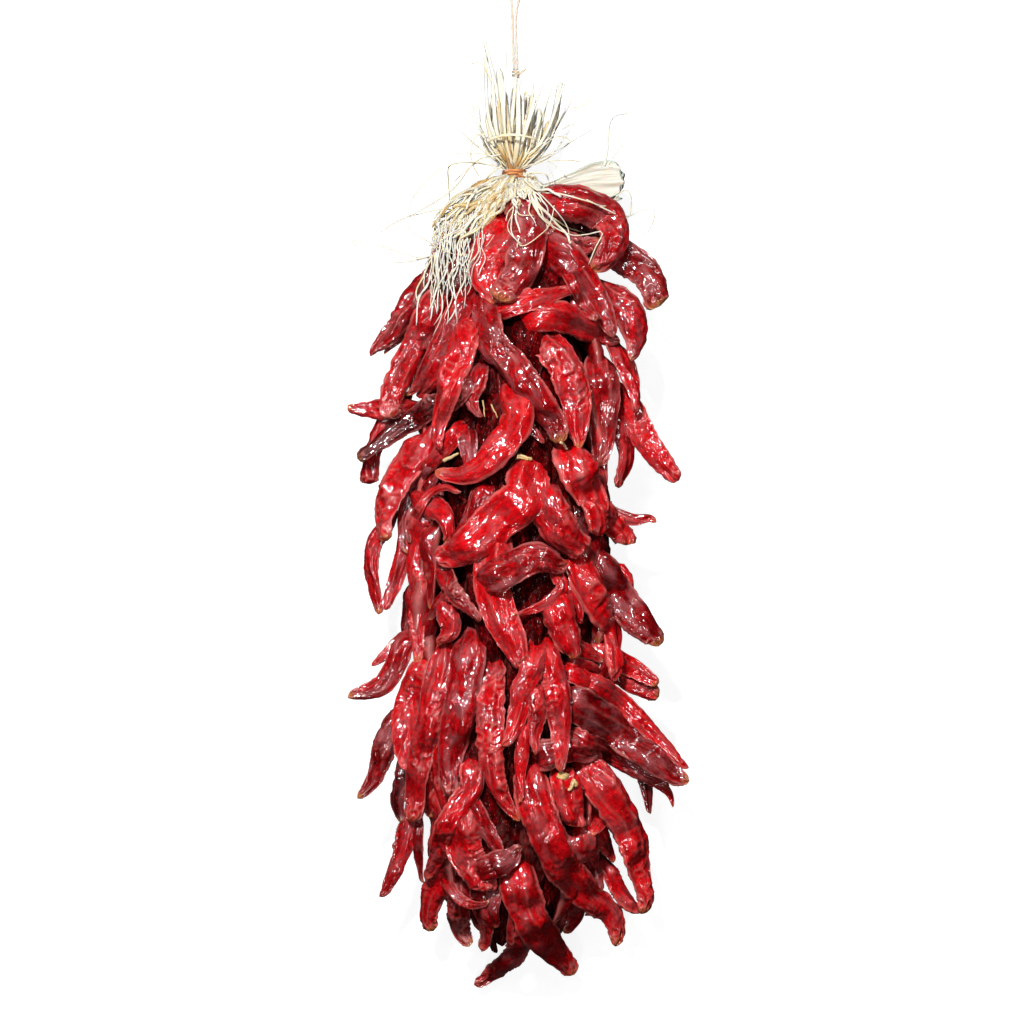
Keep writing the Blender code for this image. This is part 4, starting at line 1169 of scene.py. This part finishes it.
for places in THREADS:
    line, length = along_curve(places, THREAD_ROWS)
    share = np.linspace(0, 1, THREAD_ROWS)
    spring = 0.25 + 0.06 * length * np.sin(np.pi * share) * random.uniform(0.4, 1.0)
    tuft_top = NECK[2] + 1.2 - TUFT_FALL * np.clip(line[:, 1] - NECK[1], 0, 20)
    above = line[:, 1] > NECK[1] - 0.4
    heights = np.where(above, tuft_top, settle(line, 0.3, 0.0, 0.0))
    place = np.arange(THREAD_ROWS)
    bell = np.exp(-(((place[:, None] - place[None, :]) / 4.0) ** 2))
    heights = bell @ heights / bell.sum(axis=1) + spring
    thread_lines.append(np.column_stack([line, heights]))
thread_widths = random.uniform(0.1, 0.17, len(THREADS))
threads = [(line, width, 0.1) for line, width in zip(thread_lines, thread_widths)]
straw_piece("raffia_threads", threads, 0.06)

STRAY_STRIPS = (
    ((8.9, 80.3, 4.9), (9.2, 82, 4.6), (9.35, 84.2, 4.2), (9.9, 85.2, 4.0), (11.2, 85.5, 3.8)),
    ((9.3, 80.4, 4.8), (9.8, 81.2, 4.6), (10.3, 81.9, 4.4), (10.8, 82.5, 4.2)),
    ((-2.6, 82.7, 4.9), (-1, 83.2, 6.0), (0.6, 83.2, 6.4), (2.3, 82.9, 5.6)),
    ((8.6, 80.2, 4.8), (9.5, 80.2, 4.8), (10.2, 80.05, 4.7), (10.8, 80, 4.6)),
)
STRAY_WIDTHS = (0.26, 0.12, 0.3, 0.14)
strays = [
    (along_curve(places, TUFT_ROWS)[0], width, 0.0) for places, width in zip(STRAY_STRIPS, STRAY_WIDTHS)
]
straw_piece("raffia_strays", strays)


# --- The tie ---------------------------------------------------------------------------------
# Orange-brown twine, wound three times round the neck and drawn tight, with its end left hanging
# at the right.

TIE_RADIUS = 1.08
TIE_TURNS = 3.1
tie_material = fibre_material(
    "tie_twine",
    ((0.3, (0.2, 0.035, 0.015)), (0.5, (0.48, 0.17, 0.045)), (0.72, (0.66, 0.36, 0.12))),
    0.8,
    (1.5, 10.0, 1.0),
    0.8,
)
wound = np.linspace(0, 1, 240)[:, None]
wound_angle = 2 * np.pi * TIE_TURNS * wound
wound_reach = TIE_RADIUS + 0.06 * np.sin(1.7 * wound_angle)
tie_line = NECK + np.concatenate(
    [
        wound_reach * np.cos(wound_angle),
        0.62 * (0.5 - wound) + 0.08 * np.sin(0.8 * wound_angle),
        wound_reach * np.sin(wound_angle),
    ],
    axis=1,
)
tie_grid = twisted_strand(tie_line, 0.3, 1.1)
tail_line, _ = along_curve(((0.55, 79.45, 5.3), (1.1, 79.2, 5.0), (1.45, 78.85, 4.9), (1.75, 78.5, 5.2)), 240)
tail_grid = twisted_strand(tail_line, 0.24, 0.9)
tie = mesh_piece("tie_turns", [tie_grid, tail_grid], {}, tie_material)
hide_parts("tie")


# --- The husk leaf ---------------------------------------------------------------------------
# A broad, thin and ribbed piece of dry husk, held by the tie at its narrow end and standing out to
# the right. Its far end is round and a little ragged, and its lower edge is folded under.

LEAF_ROWS = 48
LEAF_TEAR = 0.25  # how far the far end runs in and out
FOLD_TEAR = 0.1
LEAF_LINE = ((1.2, 78.5, 4.6), (3.4, 78.2, 4.9), (5.6, 78.5, 5.1), (7.8, 78.9, 4.9), (10.1, 79.1, 4.7))
LEAF_HALF_WIDTH = ((0.0, 0.25), (0.22, 0.35), (0.45, 0.95), (0.75, 1.7), (0.92, 1.85), (1.0, 1.6))
LEAF_THICKNESS = 0.05
husk_material = fibre_material(
    "husk_leaf_skin",
    ((0.3, (0.42, 0.34, 0.25)), (0.5, (0.52, 0.47, 0.4)), (0.72, (0.59, 0.55, 0.48))),
    0.5,
    (0.4, 9.0, 1.0),
    0.6,
)


def leaf_grid(line, half_widths, rows, columns, tear, seed):
    """A thin sheet as a flat tube: its middle line, spread sideways to the half-width.

    The sheet is ribbed along its length by noise across it and cups slightly upwards. Its far end
    is drawn out into a round, and in or out by the tear times noise across it.
    """
    spine, _ = along_curve(line, rows)
    share = np.linspace(0, 1, rows)[:, None]
    tangent, side, normal = frames_along(spine, np.array([0.0, 0.1, 1.0]))
    angle = np.linspace(0, 2 * np.pi, columns, endpoint=False)[None, :]
    across = np.cos(angle)

    def ribbing(along_scale, across_scale, seed):
        """Noise of this many waves along the sheet and across its half-width."""
        along = along_scale * share + 0 * across
        sideways = across_scale * across + 0 * share
        return noise(np.stack([along, sideways, 0.5 + 0 * along], -1), seed)

    ribs = ribbing(2, 6, seed)
    waves = ribbing(3, 1.5, seed + 1)
    relief = 0.08 * ribs + 0.2 * waves * share + 0.15 * across**2
    height = relief + 0.5 * LEAF_THICKNESS * np.sin(angle)
    half = np.interp(share, *np.array(half_widths).T)
    places = np.stack([4 * across + 0 * share, 0.5 + 0 * across * share, 0.5 + 0 * share * across], -1)
    ragged = noise(places, seed + 2)
    pull = (tear * ragged + 0.8 * (1 - across**2)) * share**3
    return (
        spine[:, None]
        - (half * across)[..., None] * side[:, None]
        + height[..., None] * normal[:, None]
        + pull[..., None] * tangent[:, None]
    )


husk_grid = leaf_grid(LEAF_LINE, LEAF_HALF_WIDTH, LEAF_ROWS, 72, LEAF_TEAR, 61)
husk = mesh_piece("husk_leaf_blade", [husk_grid], {}, husk_material)
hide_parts("husk_leaf")
FOLD_LINE = ((6.2, 77.7, 4.7), (7.6, 77.45, 4.4), (9.0, 77.2, 4.3), (9.9, 77.15, 4.5))
FOLD_HALF_WIDTH = ((0.0, 0.1), (0.6, 0.45), (1.0, 0.3))
fold_grid = leaf_grid(FOLD_LINE, FOLD_HALF_WIDTH, LEAF_ROWS, 56, FOLD_TEAR, 67)
mesh_piece("husk_leaf_fold", [fold_grid], {}, husk_material)


# --- The floor and the light -----------------------------------------------------------------
# A plain white floor, the main soft lamp over the string's upper left, two weak ones that fill in
# from its foot and from the right of its tuft, and three narrow ones for the streaks on the skins.

floor_mesh = bpy.data.meshes.new("floor")
FLOOR_REACH = 6
FLOOR_LEVEL = -0.0005
floor_corners = [
    (FLOOR_REACH * x, FLOOR_REACH * y, FLOOR_LEVEL) for x, y in ((-1, -1), (1, -1), (1, 1), (-1, 1))
]
floor_mesh.from_pydata(floor_corners, [], [(0, 1, 2, 3)])
floor = bpy.data.objects.new("floor", floor_mesh)
bpy.context.scene.collection.objects.link(floor)
floor_material = bpy.data.materials.new("floor_white")
floor_material.use_nodes = True
floor_shader = floor_material.node_tree.nodes["Principled BSDF"]
floor_shader.inputs["Base Color"].default_value = (0.3, 0.3, 0.3, 1)
floor_shader.inputs["Roughness"].default_value = 0.9
floor_shader.inputs["Specular IOR Level"].default_value = 0.0
floor_shader.inputs["Emission Color"].default_value = (1, 1, 1, 1)
floor_shader.inputs["Emission Strength"].default_value = 0.88
floor_mesh.materials.append(floor_material)
floor.visible_glossy = False
floor.visible_diffuse = False


def soft_lamp(name, place, size, power):
    """A soft box this wide and long, turned to face the middle of the string."""
    data = bpy.data.lights.new(name, "AREA")
    data.shape = "RECTANGLE"
    data.size, data.size_y = size
    data.energy = power
    lamp = bpy.data.objects.new(name, data)
    bpy.context.scene.collection.objects.link(lamp)
    lamp.location = place
    way = np.array((0.0, 0.0, 0.1)) - np.array(place)
    way = way / np.linalg.norm(way)
    lamp.rotation_euler = (np.arccos(-way[2]), 0.0, np.arctan2(-way[0], way[1]))


soft_lamp("key", (-1.3, 3.5, 5.9), (0.6, 0.6), 765.0)
soft_lamp("low_fill", (-0.8, -2.6, 5.0), (0.5, 0.5), 45.0)
soft_lamp("tuft_fill", (1.1, 1.7, 1.1), (0.5, 0.5), 11.0)
soft_lamp("strip_left", (-1.7, 1.1, 5.0), (0.1, 1.5), 22.0)
soft_lamp("strip_right", (1.5, 1.7, 5.0), (0.1, 1.5), 22.0)
soft_lamp("strip_front", (-0.2, -0.7, 5.2), (0.1, 1.2), 18.0)
surround = bpy.context.scene.world or bpy.data.worlds.new("surround")
bpy.context.scene.world = surround
surround.use_nodes = True
sky = surround.node_tree.nodes["Background"]
sky.inputs["Color"].default_value = (1, 1, 1, 1)
seen = surround.node_tree.nodes.new("ShaderNodeLightPath")
level = surround.node_tree.nodes.new("ShaderNodeMapRange")
level.inputs["To Min"].default_value = 0.005
level.inputs["To Max"].default_value = 0.9
surround.node_tree.links.new(seen.outputs["Is Camera Ray"], level.inputs["Value"])
surround.node_tree.links.new(level.outputs["Result"], sky.inputs["Strength"])
bpy.context.scene.view_settings.view_transform = "Standard"
